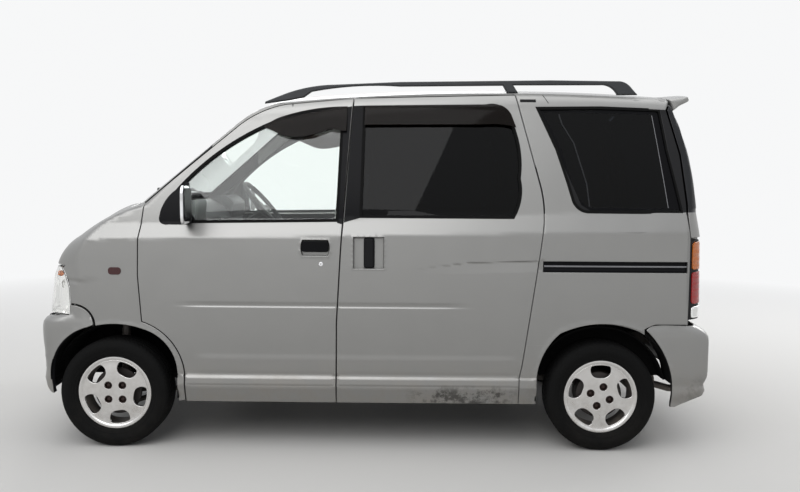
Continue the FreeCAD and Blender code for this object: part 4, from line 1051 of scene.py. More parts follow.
def bumper_form(sign, table, tip, half, bow, reach, low_share):
    """A bumper's distance: the smooth greatest of the distances from its bowed face and its sides,
    both set back by a table over the height."""
    def form(p):
        x, y, z = p[:, 0] * sign, np.abs(p[:, 1]), p[:, 2]
        back = np.interp(z, table[:, 0], table[:, 1])
        back = (back + np.interp(z - 5, table[:, 0], table[:, 1]) + np.interp(z + 5, table[:, 0], table[:, 1])) / 3
        face = x - (tip - bow * (y / 640) ** 2 - back)
        side = y - (half - np.minimum(back, 60) * np.interp(z, (380, 430), (low_share, 0.12))
                    - np.maximum(x - 1380, 0) * 0.02)
        over = np.maximum(reach - np.abs(face - side), 0)
        return np.maximum(face, side) + over ** 2 / 520
    return form


front_bumper_form = bumper_form(-1, FRONT_BUMPER_FACE, 1697.5, 734, 30, 120, 0.12)
rear_bumper_form = bumper_form(1, REAR_BUMPER_FACE, 1697.5, 737, 14, 100, 0.32)

# how the bumpers and the tail are seen, for drawing on them
ROUND_FRONT_BUMPER = Globe((-1200, 0, 450), (-1, 0, 0), 560, front_bumper_form)
AHEAD_OF_BUMPER = Flat((-1, 0, 0), (0, -1, 0), (0, 0, 1), 1640, 900, front_bumper_form)
ROUND_REAR_BUMPER = Globe((1150, 0, 450), (1, 0, 0), 560, rear_bumper_form)
BEHIND_BUMPER = Flat((1, 0, 0), (0, 1, 0), (0, 0, 1), 1640, 900, rear_bumper_form)
ROUND_TAIL = Globe((1050, 0, 1150), (1, 0, 0), 620)

ARCH_POINTS = np.concatenate([dense(FRONT_ARCH[1:-1], 12), dense(REAR_ARCH[1:-1], 12)])
ARCH_POINTS = ARCH_POINTS[ARCH_POINTS[:, 1] > 300]
HANDLE_POINTS = np.concatenate([dense(SLIDE_HANDLE, 6), dense(FRONT_HANDLE, 6)])


def smooth(t):
    """The smooth step 3t^2 - 2t^3 between 0 and 1."""
    t = np.clip(t, 0, 1)
    return t * t * (3 - 2 * t)


def distance_to(points, p):
    """Distance from the nearest of some points, in the side view or in space."""
    found = np.empty(len(p))
    for start in range(0, len(p), BLOCK):
        apart = p[start:start + BLOCK, None] - points[None]
        found[start:start + BLOCK] = np.sqrt((apart ** 2).sum(2).min(1))
    return found


def side_relief(p):
    """Pressed lines of the sides, in mm along the normal.

    A fold falls in slowly and comes out at once, both by smooth steps. The sill's band and the groove
    that leads to the slide rail are smooth steps too. Arch lips and handle rims fall off with distance
    from their outlines.
    """
    x, z = p[:, 0], p[:, 2]
    fold = smooth((x + 1010) / 200) * smooth((520 - x) / 200)
    rise = -3.2 * fold * smooth((744 - z) / 22) * smooth((z - 711) / 8)
    fold = smooth((x + 1532) / 10) * smooth((-1330 - x) / 90)
    rise -= 4.2 * fold * smooth((852 - z) / 20) * smooth((z - 823) / 7)
    rise -= 1.8 * np.exp(-((z - 321) / 4) ** 2) * smooth((x + 925) / 20) * smooth((745 - x) / 20)
    rise += 2.6 * smooth((484 - z) / 34) * smooth((x + 900) / 90) * smooth((740 - x) / 60) * smooth((z - 366) / 20)
    share = smooth((x - 150) / 640)
    top = np.interp(x, (138, 479, 821), (893, 938, 948))
    low = np.interp(x, (138, 479, 821), (886, 886, 897))
    depth = 5.5 * share * (x < 846)
    fall = np.clip((z - low) / np.maximum(top - low, 1), 0, 1)
    rise -= depth * fall * smooth((top + 5 - z) / 6) * (z > low - 1)
    xz = np.stack([x, z], 1)
    lower = z < 700
    if lower.any():
        rise[lower] += 3.0 * smooth(1 - distance_to(ARCH_POINTS, xz[lower]) / 26)
    handles = (z > 860) & (z < 1110) & (x > -420) & (x < 130)
    if handles.any():
        rise[handles] += 1.8 * np.exp(-(distance_to(HANDLE_POINTS, xz[handles]) / 6) ** 2)
    return rise


def body_piece(name, arrays, body, materials, slot, replaces=()):
    """One piece from its points and faces, with or without its normals and its faces' marks. A face
    marked 1 has the second finish. Where one finish is given, it is on both sides."""
    points, faces, normals, marks = (*arrays, None, None)[:4]
    if isinstance(materials, str):
        materials = (materials,) * (2 if marks and max(marks) else 1)
    return finish_piece(make_object(name, points, faces, normals, materials, marks), body, replaces)


def pair(name, arrays, bodies, materials, slot, replaces=()):
    """A left piece and its mirrored twin. Bodies and nodes take {} for left or right."""
    return [body_piece(name + "_" + word, made, bodies.format(word), materials, slot,
                       [node.format(word) for node in replaces])
            for word, made in (("left", arrays), ("right", mirrored_arrays(*arrays)))]


def cut(name, facing, outline, body, materials, slot="trim_black", holes=(), replaces=(), twins=True, **shape):
    """A panel cut from the body as a piece, with its mirrored twin unless it crosses the middle."""
    arrays = panel_arrays(facing, outline, holes, **shape)
    return (pair if twins else body_piece)(name, arrays, body, materials, slot, replaces)


# ---------------------------------------------------------------- settings and operators

class KeiVanLooks(bpy.types.PropertyGroup):
    """What a user would change on the van."""

    paint: bpy.props.FloatVectorProperty(
        name="Paint", description="Colour of the metallic paint", subtype="COLOR", size=3, min=0, max=1,
        default=(0.285, 0.283, 0.275))
    glass_tint: bpy.props.FloatVectorProperty(
        name="Privacy glass", description="Tint of the rear side windows", subtype="COLOR", size=3, min=0, max=1,
        default=(0.012, 0.014, 0.018))
    panel_gap: bpy.props.FloatProperty(
        name="Panel gap", description="Half of the gap between two outer panels, in mm", default=2.6, min=1, max=6)
    edge_radius: bpy.props.FloatProperty(
        name="Edge radius", description="Radius of the rolled edge of a panel, in mm", default=3.0, min=0.5, max=8)
    grid_step: bpy.props.FloatProperty(
        name="Grid step", description="Distance between the points of a panel, in mm", default=16.5, min=5, max=40)


BACKDROP = (0.93, 0.935, 0.94)
FLOOR_SIZE = 60
# name, place and aim in metres, width, length, power in watts
LAMPS = (
    ("key", (-2.4, -5.4, 5.0), (0, 0, 0.8), 7.0, 5.0, 230),
    ("top", (0.4, -0.5, 6.2), (0, 0, 0), 8.0, 6.0, 170),
    ("rear", (5.5, 3.0, 3.6), (0.8, 0, 0.9), 3.0, 3.0, 120),
    ("right", (-1.0, 5.8, 3.6), (0, 0, 0.8), 5.0, 3.0, 150),
)
CAMERA_PLACE, CAMERA_LENS, SENSOR_WIDTH = (0.1729, -4.515, 1.3228), 35.01, 36.0
CAMERA_YAW, CAMERA_PITCH, CAMERA_ROLL = (math.radians(angle) for angle in (-0.541, 4.593, 0.359))


class KEIVAN_OT_stage(bpy.types.Operator):
    """Floor, backdrop, lamps and the camera of the photograph's viewpoint"""

    bl_idname = "kei_van.stage"
    bl_label = "Stage"

    def execute(self, context):
        scene = context.scene
        scene.view_settings.view_transform = "Standard"
        world = bpy.data.worlds.new("studio")
        scene.world = world
        world.use_nodes = True
        tree = world.node_tree
        tree.nodes.clear()
        out = tree.nodes.new("ShaderNodeOutputWorld")
        light, seen = tree.nodes.new("ShaderNodeBackground"), tree.nodes.new("ShaderNodeBackground")
        light.inputs["Color"].default_value = (0.92, 0.95, 1.0, 1)
        light.inputs["Strength"].default_value = 0.46
        seen.inputs["Strength"].default_value = 1.0
        ramp = tree.nodes.new("ShaderNodeValToRGB")
        ramp.color_ramp.elements[0].position, ramp.color_ramp.elements[0].color = 0.46, (0.62, 0.62, 0.61, 1)
        ramp.color_ramp.elements[1].position, ramp.color_ramp.elements[1].color = 0.74, (0.96, 0.975, 1.0, 1)
        coords = tree.nodes.new("ShaderNodeTexCoord")
        height = times_plus(tree, split(tree, coords.outputs["Generated"])["Z"], 0.5, 0.5)
        tree.links.new(height, ramp.inputs[0])
        path = tree.nodes.new("ShaderNodeLightPath")
        mirror_or_glass = math_node(tree, "MAXIMUM", path.outputs["Is Glossy Ray"],
                                    path.outputs["Is Transmission Ray"])
        seen_through = math_node(tree, "MAXIMUM", path.outputs["Is Camera Ray"], path.outputs["Is Transmission Ray"])
        chosen = mix_colour(tree, seen_through, ramp.outputs[0], BACKDROP)
        tree.links.new(chosen, seen.inputs["Color"])
        visible = math_node(tree, "MAXIMUM", mirror_or_glass, path.outputs["Is Camera Ray"])
        mix = tree.nodes.new("ShaderNodeMixShader")
        tree.links.new(visible, mix.inputs[0])
        tree.links.new(light.outputs[0], mix.inputs[1])
        tree.links.new(seen.outputs[0], mix.inputs[2])
        tree.links.new(mix.outputs[0], out.inputs[0])

        floor_material = bpy.data.materials.new("studio_floor")
        floor_material.use_nodes = True
        shader = floor_material.node_tree.nodes["Principled BSDF"]
        shader.inputs["Base Color"].default_value = (0.60, 0.59, 0.57, 1)
        shader.inputs["Roughness"].default_value = 0.9
        floor_tree = floor_material.node_tree
        far = floor_tree.nodes.new("ShaderNodeEmission")
        far.inputs["Color"].default_value = (*BACKDROP, 1)
        length = floor_tree.nodes.new("ShaderNodeVectorMath")
        length.operation = "LENGTH"
        floor_tree.links.new(object_coords(floor_tree), length.inputs[0])
        away = math_node(floor_tree, "SUBTRACT", length.outputs["Value"], 2.4)
        away = math_node(floor_tree, "DIVIDE", away, 5.5, clamp=True)
        rays = floor_tree.nodes.new("ShaderNodeLightPath")
        shown = math_node(floor_tree, "MAXIMUM", rays.outputs["Is Camera Ray"], rays.outputs["Is Glossy Ray"])
        shown = math_node(floor_tree, "MAXIMUM", shown, rays.outputs["Is Transmission Ray"])
        blend = floor_tree.nodes.new("ShaderNodeMixShader")
        floor_tree.links.new(math_node(floor_tree, "MULTIPLY", away, shown), blend.inputs[0])
        floor_tree.links.new(shader.outputs[0], blend.inputs[1])
        floor_tree.links.new(far.outputs[0], blend.inputs[2])
        floor_tree.links.new(blend.outputs[0], floor_tree.nodes["Material Output"].inputs[0])
        mesh = bpy.data.meshes.new("floor")
        corners = [(FLOOR_SIZE * x, FLOOR_SIZE * y, 0) for x, y in ((-1, -1), (1, -1), (1, 1), (-1, 1))]
        mesh.from_pydata(corners, [], [(0, 1, 2, 3)])
        mesh.materials.append(floor_material)
        floor = bpy.data.objects.new("floor", mesh)
        scene.collection.objects.link(floor)

        for name, place, aim, width, length, power in LAMPS:
            lamp = bpy.data.lights.new(name, "AREA")
            lamp.shape, lamp.size, lamp.size_y, lamp.energy = "RECTANGLE", width, length, power
            obj = bpy.data.objects.new(name, lamp)
            scene.collection.objects.link(obj)
            obj.location = place
            obj.rotation_euler = (Vector(aim) - Vector(place)).to_track_quat("-Z", "Y").to_euler()

        camera = bpy.data.cameras.new("camera")
        camera.sensor_width, camera.lens = SENSOR_WIDTH, CAMERA_LENS
        obj = bpy.data.objects.new("camera", camera)
        scene.collection.objects.link(obj)
        level = math.cos(CAMERA_PITCH)
        ahead = Vector((math.sin(CAMERA_YAW) * level, math.cos(CAMERA_YAW) * level, -math.sin(CAMERA_PITCH)))
        right = Vector((math.cos(CAMERA_YAW), -math.sin(CAMERA_YAW), 0))
        up = right.cross(ahead)
        c, s = math.cos(CAMERA_ROLL), math.sin(CAMERA_ROLL)
        turn = Matrix((right * c + up * s, up * c - right * s, -ahead)).transposed().to_4x4()
        obj.matrix_world = Matrix.Translation(CAMERA_PLACE) @ turn
        scene.camera = obj
        return {"FINISHED"}


class KEIVAN_OT_finishes(bpy.types.Operator):
    """Materials, and the finish of each node that stays in sight"""

    bl_idname = "kei_van.finishes"
    bl_label = "Finishes"

    def execute(self, context):
        build_materials(context.scene.kei_van)
        kept = {
            "frame_paint": ["side_frame_left", "side_frame_right", "rear_frame"],
            "silver_paint": ["roof_panel", "bonnet", "front_fenders", "front_bumper", "rear_bumper", "tailgate",
                             "rear_spoiler", "front_door_left", "front_door_right", "sliding_door_left",
                             "sliding_door_right"],
            "clear_glass": ["windscreen", "door_glass_left", "door_glass_right"],
            "tinted_glass": ["fixed_side_glass", "tailgate_glass"],
            "lamp_red": ["tail_lamps"],
            "lamp_clear": ["headlamps"],
            "trim_black": ["grille"],
            "rail_grey": ["roof_rails"],
            "chrome": ["mirror_left", "mirror_right"],
            "underbody": ["floor_pan", "chassis_rails", "front_frame", "fuel_tank", "trailing_arms"],
            "liner_black": ["wheel_housings"],
            "steel_dark": ["rear_springs", "front_suspension", "rear_axle", "exhaust", "knuckle_left",
                           "knuckle_right"],
            "engine_iron": ["engine", "radiator"],
            "inner_paint": ["firewall"],
            "dash_plastic": ["dashboard", "steering_wheel"],
            "seat_cloth": ["front_seats", "rear_seat"],
            "wheel_metal": [w + "_wheel" for w in WHEELS],
            "rubber": [w + "_tyre" for w in WHEELS],
        }
        for finish, nodes in kept.items():
            for node in nodes:
                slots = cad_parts[node].data.materials
                slots.clear()
                slots.append(MATERIALS[finish])
        return {"FINISHED"}


class KEIVAN_OT_doors(bpy.types.Operator):
    """The outer skins of the four side doors, with their window openings"""

    bl_idname = "kei_van.doors"
    bl_label = "Doors"

    def execute(self, context):
        looks = context.scene.kei_van
        shared = dict(step=looks.grid_step, inset=looks.panel_gap, roll=looks.edge_radius, depth=46.0,
                      relief=side_relief)
        creases = (708, 712, 716, 720, 726, 732, 738, 744, 325, 317, 454, 462, 470, 478, 366, 360, 322, 316)
        cut("skin_front_door", FROM_LEFT, dense(FRONT_DOOR), "front_door_{}", ("silver_paint", "door_card"),
            "body_paint", holes=[dense(FRONT_WINDOW), dense(FRONT_HANDLE, 5)], replaces=["front_door_{}"],
            lines=creases, **shared)
        cut("skin_sliding_door", FROM_LEFT, dense(SLIDING_DOOR), "root", ("silver_paint", "door_card"), "body_paint",
            holes=[dense(SLIDING_WINDOW), dense(SLIDE_HANDLE, 5)], replaces=["sliding_door_{}"],
            lines=creases + (888, 894, 900, 908, 916, 924, 932, 940, 946, 952), **shared)
        return {"FINISHED"}


def side_line(line, spacing=8.0, form=outside):
    """An open side view line (x, z) as points on the left side of a form."""
    return Flat((0, -1, 0), (1, 0, 0), (0, 0, 1), 735, 300, form).run(line, spacing)


class KEIVAN_OT_shell(bpy.types.Operator):
    """Roof, bonnet, fenders, quarter panels and tailgate"""

    bl_idname = "kei_van.shell"
    bl_label = "Body shell"

    def execute(self, context):
        looks = context.scene.kei_van
        shared = dict(step=looks.grid_step, roll=looks.edge_radius)
        cut("skin_quarter", FROM_LEFT, dense(QUARTER), "root", ("quarter_paint", "trim_black"), "body_paint",
            holes=[dense(QUARTER_WINDOW), dense(SLIDE_RAIL)], inset=-0.3, depth=4.0, lift=0.9,
            relief=lambda p: side_relief(p) + 2.2 * smooth((p[:, 0] - 1290) / 130),
            lines=(482, 474, 466, 458, 450, 366, 360, 322, 316), **shared)

        fan = Globe((-1250, -250, 650), (0, -1, 0.0), 480)
        top = FROM_ABOVE.run([(-1132, -FENDER_INNER), (-1550, -FENDER_INNER)], 8)
        ahead = FROM_FRONT.run([(FENDER_INNER, 946), (FENDER_INNER, 908), (698, 908)], 8)
        top = top[top[:, 2] > 950]
        outline = np.concatenate([run[:-1] for run in (side_line(FENDER_SIDE), top, ahead)])
        cut("skin_fender", fan, fan.flat(outline), "root", ("silver_paint", "trim_black"), "body_paint",
            replaces=["front_fenders"], inset=looks.panel_gap - 1.6, depth=18.0, relief=side_relief,
            step=looks.grid_step * 0.8, roll=looks.edge_radius, wall=1)

        lid = Flat((-0.5, 0, 0.866), (0, -1, 0), (0.866, 0, 0.5), 1500, 300)
        flank = np.concatenate([
            FROM_ABOVE.run([(-1224, -BONNET_HALF), (-1540, -BONNET_HALF)], 9),
            FROM_FRONT.run([(BONNET_HALF, 960), (BONNET_HALF, 911)], 9),
            FROM_FRONT.run([(BONNET_HALF - 6, 908), (390, 908), (384, 903), (384, 893)], 9)])
        front = FROM_FRONT.run([(378, 893), (-378, 893)], 9)
        rear = FROM_ABOVE.run([(-1224, BONNET_HALF - 5), (-1224, 5 - BONNET_HALF)], 9)
        outline = np.concatenate([flank, front, (flank * MIRROR)[::-1], rear])
        cut("skin_bonnet", lid, lid.flat(outline), "bonnet", ("silver_paint", "inner_paint"), "body_paint",
            replaces=["bonnet"], twins=False, depth=22.0, relief=bonnet_relief, **shared)

        front = FROM_FRONT.run([(545, 1693), (-545, 1693)], 9)
        left = FROM_ABOVE.run([(-560, -GUTTER), (1470, -GUTTER)], 9)
        back = FROM_ABOVE.run([(1471, -GUTTER + 5), (1471, GUTTER - 5)], 9)
        outline = np.concatenate([front[::-1], left * MIRROR, back[::-1], left[::-1]])
        cut("skin_roof", FROM_ABOVE, FROM_ABOVE.flat(outline), "root", ("silver_paint", "headlining"), "body_paint",
            replaces=["roof_panel"], twins=False, inset=0.5, depth=29.0, relief=roof_relief,
            step=looks.grid_step * 1.35, roll=looks.edge_radius)

        edge = side_line([(1481, 1742), (1456, 1694), (1515, 1471), (1543, 1227), (1544, 1183), (1558, 1066)])
        corner = at_height(1066, np.linspace(-54.0, -45.5, 14), 1050)
        drop = FROM_REAR.run([(-594, 1064), (-594, 648)], 8)
        sill = FROM_REAR.run([(-588, 648), (588, 648)], 9)
        half_loop = np.concatenate([edge, corner, drop])
        top = FROM_ABOVE.run([(1481, 555), (1481, -555)], 9)
        outline = np.concatenate([half_loop, sill, (half_loop * MIRROR)[::-1], top])
        window = carried(dense(REAR_WINDOW), FROM_REAR, ROUND_TAIL)
        cut("skin_tailgate", ROUND_TAIL, ROUND_TAIL.flat(outline), "tailgate", ("tail_paint", "door_card"),
            "body_paint", holes=[window], replaces=["tailgate"], twins=False, depth=38.0, relief=tail_relief,
            **shared)
        return {"FINISHED"}


def bonnet_relief(p):
    """Two soft pressed ridges that run back from the lamps: bell curves across the car."""
    line = 330 + (p[:, 0] + 1650) * 0.16
    return 5.0 * np.exp(-((np.abs(p[:, 1]) - line) / 34) ** 2) * smooth((p[:, 0] + 1640) / 160) * smooth(
        (-1235 - p[:, 0]) / 60)


def roof_relief(p):
    """Five shallow beads along the roof and the drip channels: bell curves across the car."""
    rise = np.zeros(len(p))
    for line in (0, 180, 360):
        rise += 2.4 * np.exp(-((np.abs(p[:, 1]) - line) / 13) ** 2) * smooth((p[:, 0] + 330) / 120) * smooth(
            (1330 - p[:, 0]) / 120)
    return rise - 4.0 * np.exp(-((np.abs(p[:, 1]) - 566) / 6) ** 2)


def tail_relief(p):
    """The number plate's shallow recess and a crease below the window: smooth steps."""
    y, z = np.abs(p[:, 1]), p[:, 2]
    plate = smooth((225 - y) / 36) * smooth((z - 764) / 36) * smooth((990 - z) / 20)
    crease = 2.5 * np.exp(-((z - 1085) / 10) ** 2) * smooth((560 - y) / 60)
    return crease * (p[:, 0] > 1500) - 8.0 * plate * (p[:, 0] > 1500)


def ellipse(a, b, width, height, count=40):
    """An ellipse round (a, b): (a + w/2 cos t, b + h/2 sin t)."""
    turn = np.arange(count) * 2 * math.pi / count
    return np.stack([a + width / 2 * np.cos(turn), b + height / 2 * np.sin(turn)], 1)


def box_outline(a0, a1, b0, b1, radius, spacing=6.0):
    """A rectangle with round corners."""
    k = radius * (1 - math.sqrt(0.5))
    return dense([
        (a0 + radius, b0), (a1 - radius, b0), ((a1 - k, b0 + k), (a1, b0 + radius)), (a1, b1 - radius),
        ((a1 - k, b1 - k), (a1 - radius, b1)), (a0 + radius, b1), ((a0 + k, b1 - k), (a0, b1 - radius)),
        (a0, b0 + radius), ((a0 + k, b0 + k), (a0 + radius, b0))], spacing)


class KEIVAN_OT_glass(bpy.types.Operator):
    """Windscreen, side and rear glass, black frames, mouldings and smoked visors"""

    bl_idname = "kei_van.glass"
    bl_label = "Glass and frames"

    def execute(self, context):
        step = context.scene.kei_van.grid_step * 2
        pane = dict(step=step, roll=1.0, inset=-4.0, depth=5.0, lift=-9.0)
        cut("pane_door", FROM_LEFT, dense(FRONT_WINDOW), "front_door_{}", "clear_glass", "clear_glass",
            replaces=["door_glass_{}"], **pane)
        for word, outline in (("slide", SLIDING_WINDOW), ("quarter", QUARTER_WINDOW)):
            cut("pane_" + word, FROM_LEFT, dense(outline), "root", "tinted_glass", "tinted_glass",
                replaces=["fixed_side_glass"], **pane)
        for word, outline, body in (("front", FRONT_WINDOW, "front_door_{}"), ("slide", SLIDING_WINDOW, "root"),
                                    ("quarter", QUARTER_WINDOW, "root")):
            rim = dense(outline, 6)
            cut("moulding_" + word, FROM_LEFT, grown(rim, 7.0), body, "rubber", holes=[grown(rim, -8.0)], roll=2.0,
                depth=10.0, lift=2.2, step=60.0)
        film = dict(roll=0.6, depth=1.4, lift=1.4, step=step)
        for word, outline, body in (
                ("front", PILLAR_FRONT, "front_door_{}"), ("slide", PILLAR_SLIDE, "root"),
                ("quarter", PILLAR_QUARTER, "root")):
            cut("pillar_" + word, FROM_LEFT, dense(outline), body, "gloss_black", **film)
        cut("mirror_sail", FROM_LEFT, rounded(dense(SAIL, 5), 6), "front_door_{}", ("gloss_black", "trim_black"),
            roll=2.5, depth=13.0, lift=3.0, step=14)
        cut("quarter_band", FROM_LEFT, grown(dense(QUARTER_WINDOW, 6), -9.0), "root", "gloss_black",
            holes=[dense(QUARTER_SIGHT, 6)], roll=0.8, depth=3.0, lift=-8.4, step=40)
        line = np.array([(1379, 1668), (1449, 1212)], float)
        for word, points, width, finish in (("line", line, 3.2, "trim_pale"),
                                            ("seam", np.array(QUARTER_SEAM, float), 7.0, "trim_grey")):
            band = dense([tuple(v) for v in points] + [tuple(v) for v in points[::-1] + (width, 0)], 6)
            cut("quarter_" + word, FROM_LEFT, band, "root", finish, roll=0.8, depth=1.6, lift=-6.8, step=20)
        joint = dense([(836, 1771), (840, 1771), (869, 1723), (865, 1723)], 6)
        cut("roof_joint", FROM_LEFT, joint, "root", "trim_black", roll=0.5, depth=1.0, lift=1.2, step=20)

        for word, outline, body in (("front", VISOR_FRONT, "front_door_{}"), ("slide", VISOR_SLIDE, "root")):
            cut("visor_" + word, FROM_LEFT, dense(outline, 6), body, "visor_smoke", "tinted_glass", roll=1.0,
                depth=2.4, lift=2.0, step=9, relief=visor_relief)

        screen = dense(SCREEN)
        cut("pane_screen", FROM_FRONT, screen, "root", "clear_glass", "clear_glass", replaces=["windscreen"],
            twins=False, inset=-5, roll=1.0, depth=5.0, lift=-3.0, step=step)
        cut("screen_band", FROM_FRONT, grown(screen, 3.0), "root", "gloss_black",
            holes=[rounded(grown(screen, -24.0), 10)], twins=False, roll=1.2, depth=4.0, lift=-0.8, step=60)

        rear = carried(dense(REAR_WINDOW), FROM_REAR, ROUND_TAIL)
        cut("pane_rear", ROUND_TAIL, rear, "tailgate", "tinted_glass", "tinted_glass", replaces=["tailgate_glass"],
            twins=False, inset=-4.0, roll=1.0, depth=5.0, lift=-4.0, step=step)
        cut("rear_band", ROUND_TAIL, grown(rear, 8.0), "tailgate", "gloss_black",
            holes=[rounded(grown(rear, -22.0), 8)], twins=False, roll=1.5, depth=5.0, lift=1.2, step=60)
        strip = np.concatenate([side_line(TAIL_STRIP_EDGE, spacing=7),
                                FROM_REAR.run([(-592, 1192), (-556, 1400), (-520, 1664), (-516, 1736)], 7)])
        cut("tail_strip", ROUND_TAIL, ROUND_TAIL.flat(strip), "tailgate", "trim_grey", roll=1.2, depth=3.0, lift=1.8,
            step=14)
        return {"FINISHED"}


def visor_relief(p):
    """A visor leans out from its upper edge: the rise grows with the root of the way down."""
    top = np.interp(p[:, 0], (-600, -488, -150, 0, 700), (1580, 1632, 1697, 1706, 1712))
    return 20.0 * np.sqrt(np.clip((top - p[:, 2]) / 130, 0, 1))


class KEIVAN_OT_bumpers(bpy.types.Operator):
    """Both bumpers, the dark shelf behind the front one and the liners of the wheel arches"""

    bl_idname = "kei_van.bumpers"
    bl_label = "Bumpers"

    def execute(self, context):
        looks = context.scene.kei_van
        both = ("silver_paint", "trim_black")
        side = side_line(FRONT_BUMPER_EDGE, form=front_bumper_form)
        lower = AHEAD_OF_BUMPER.run([(640, 262), (0, 262)], 10)[:-1]
        upper = bumper_top()
        half_loop = np.concatenate([upper, side, lower])
        outline = np.concatenate([half_loop, AHEAD_OF_BUMPER.on_body(np.array([(0.0, 262.0)])),
                                  (half_loop * MIRROR)[::-1], upper[:1] * (1, 0, 1)])
        holes = [carried(hole, AHEAD_OF_BUMPER, ROUND_FRONT_BUMPER) for hole in (
            box_outline(-420, 420, 310, 430, 18), ellipse(-560, 372, 116, 104), ellipse(560, 372, 116, 104))]
        arrays = panel_arrays(ROUND_FRONT_BUMPER, ROUND_FRONT_BUMPER.flat(outline), holes,
                              step=looks.grid_step * 0.9, wall=1, inset=0.5, roll=looks.edge_radius, depth=20.0,
                              relief=front_bumper_relief)
        high = np.array([arrays[0][face][:, 2].mean() > 604 for face in arrays[1]])
        arrays[3][:] = np.where(high, 0, arrays[3]).tolist()
        body_piece("skin_front_bumper", arrays, "root", both, "body_paint", ["front_bumper"])
        shelf = dense([(-1668, 300), (-1640, 620), (-1604, 690), (-1530, 708), (-1500, 700), (-1500, 300)], 12)
        shelf = slab_arrays(shelf, 645.0, 652.0, 1.5, lambda p: p)
        pair("bumper_shelf", mirrored_arrays(*shelf), "root", "liner_black", "trim_black")

        for word, arch in (("front", FRONT_ARCH), ("rear", REAR_ARCH)):
            ring = dense(arch, 10)
            kept = ring[:, 1] > np.where(np.abs(ring[:, 0]) > 1450, 335, 245)
            band = np.concatenate([grown(ring, 1.0)[kept], grown(ring, 6.0)[kept][::-1]])
            pair("arch_liner_" + word, slab_arrays(band, 575.0, 724.0, 1.0, upright), "root", "liner_black",
                 "trim_black")

        side = side_line(REAR_BUMPER_EDGE, form=rear_bumper_form)
        lower = BEHIND_BUMPER.run([(-640, 284), (0, 284)], 10)[:-1]
        upper = BEHIND_BUMPER.run([(0, 634), (-640, 634)], 10)[1:]
        half_loop = np.concatenate([upper, side, lower])
        outline = np.concatenate([half_loop, BEHIND_BUMPER.on_body(np.array([(0.0, 284.0)])),
                                  (half_loop * MIRROR)[::-1], BEHIND_BUMPER.on_body(np.array([(0.0, 634.0)]))])
        cut("skin_rear_bumper", ROUND_REAR_BUMPER, ROUND_REAR_BUMPER.flat(outline), "root", both, "body_paint",
            replaces=["rear_bumper"], twins=False, step=looks.grid_step * 0.62, inset=0.5, wall=1,
            roll=looks.edge_radius, depth=20.0, relief=rear_bumper_relief)
        return {"FINISHED"}


def bumper_top():
    """The bumper's upper edge: at each distance from the middle, the lowest height at which the
    body's nose comes out ahead of the bumper's face."""
    a = np.linspace(8, 668, 70)
    heights = np.linspace(636, 667, 32)
    grid = np.stack(np.meshgrid(a, heights, indexing="ij"), 2).reshape(-1, 2)
    bumper_x = AHEAD_OF_BUMPER.on_body(grid)[:, 0].reshape(len(a), -1)
    nose = FROM_FRONT.on_body(grid)
    nose = (nose[:, 0] - lens_bulge(nose)).reshape(len(a), -1)
    behind = bumper_x > nose - 1.5
    level = np.where(behind.any(1), heights[behind.argmax(1)], heights[-1])
    level = np.convolve(np.pad(level, 4, mode="edge"), np.full(9, 1 / 9), "valid")
    return AHEAD_OF_BUMPER.on_body(np.stack([a, level], 1))


def front_bumper_relief(p):
    """A recess for the plate, a soft crease above the intake and a lip round the wheel arch."""
    y, z = np.abs(p[:, 1]), p[:, 2]
    plate = smooth((184 - y) / 10) * smooth((z - 420) / 8) * smooth((608 - z) / 8) * (p[:, 0] < -1600)
    crease = 2.0 * np.exp(-((z - 452) / 7) ** 2) * smooth((y - 200) / 60)
    xz = np.stack([p[:, 0], z], 1)
    lip = 3.0 * smooth(1 - distance_to(ARCH_POINTS, xz) / 24) * (y > 690)
    return lip + crease - 12.0 * plate


def rear_bumper_relief(p):
    """A lip round the wheel arch, by a smooth step."""
    xz = np.stack([p[:, 0], p[:, 2]], 1)
    return 3.0 * smooth(1 - distance_to(ARCH_POINTS, xz) / 24) * (np.abs(p[:, 1]) > 690)


def lamp_loop(toward, inner, low, high, side_points, keep):
    """The outline of a corner lamp: its inner edge and the runs to the side in the view from the
    nose or the tail, and its edge on the side in the side view."""
    top = toward.run([(inner, high), (inner * 1.86, high)], 6)
    bottom = toward.run([(inner * 1.86, low), (inner, low)], 6)
    edge = toward.run([(inner, low + 7), (inner, high - 7)], 6)
    side = side_line(side_points, spacing=6)
    return np.concatenate([top[keep(top, high)], side, bottom[keep(bottom, low)], edge])


def headlamp_loop(inset):
    """The left headlamp's outline, drawn in by an inset."""
    side = [(x - inset, z) for x, z in HEADLAMP_SIDE]
    side[0] = (side[0][0], side[0][1] - inset)
    side[-1] = (side[-1][0], side[-1][1] + inset)
    edge_z, edge_x = np.array(side)[::-1, 1], np.array(side)[::-1, 0]

    def keep(points, z):
        return points[:, 0] < np.interp(z, edge_z, edge_x) - 4

    return lamp_loop(FROM_FRONT, 394 + inset, side[-1][1], side[0][1], side, keep)


def tail_lamp_loop(low, high, front=1557.0, inner=-602.0):
    """The outline of a part of the left tail lamp between two heights."""
    def keep(points, z):
        return points[:, 0] > front + 4

    return lamp_loop(FROM_REAR, inner, low, high, [(front, high), (front, low)], keep)


def bowl_relief(facing, outline, depth, slope, bulge=lambda p: 0):
    """A hollow inside an outline: a smooth step down over the slope's width, under a bulge."""
    edge = facing.on_body(outline)

    def relief(p):
        return bulge(p) - depth * smooth(distance_to(edge, p) / slope)
    return relief


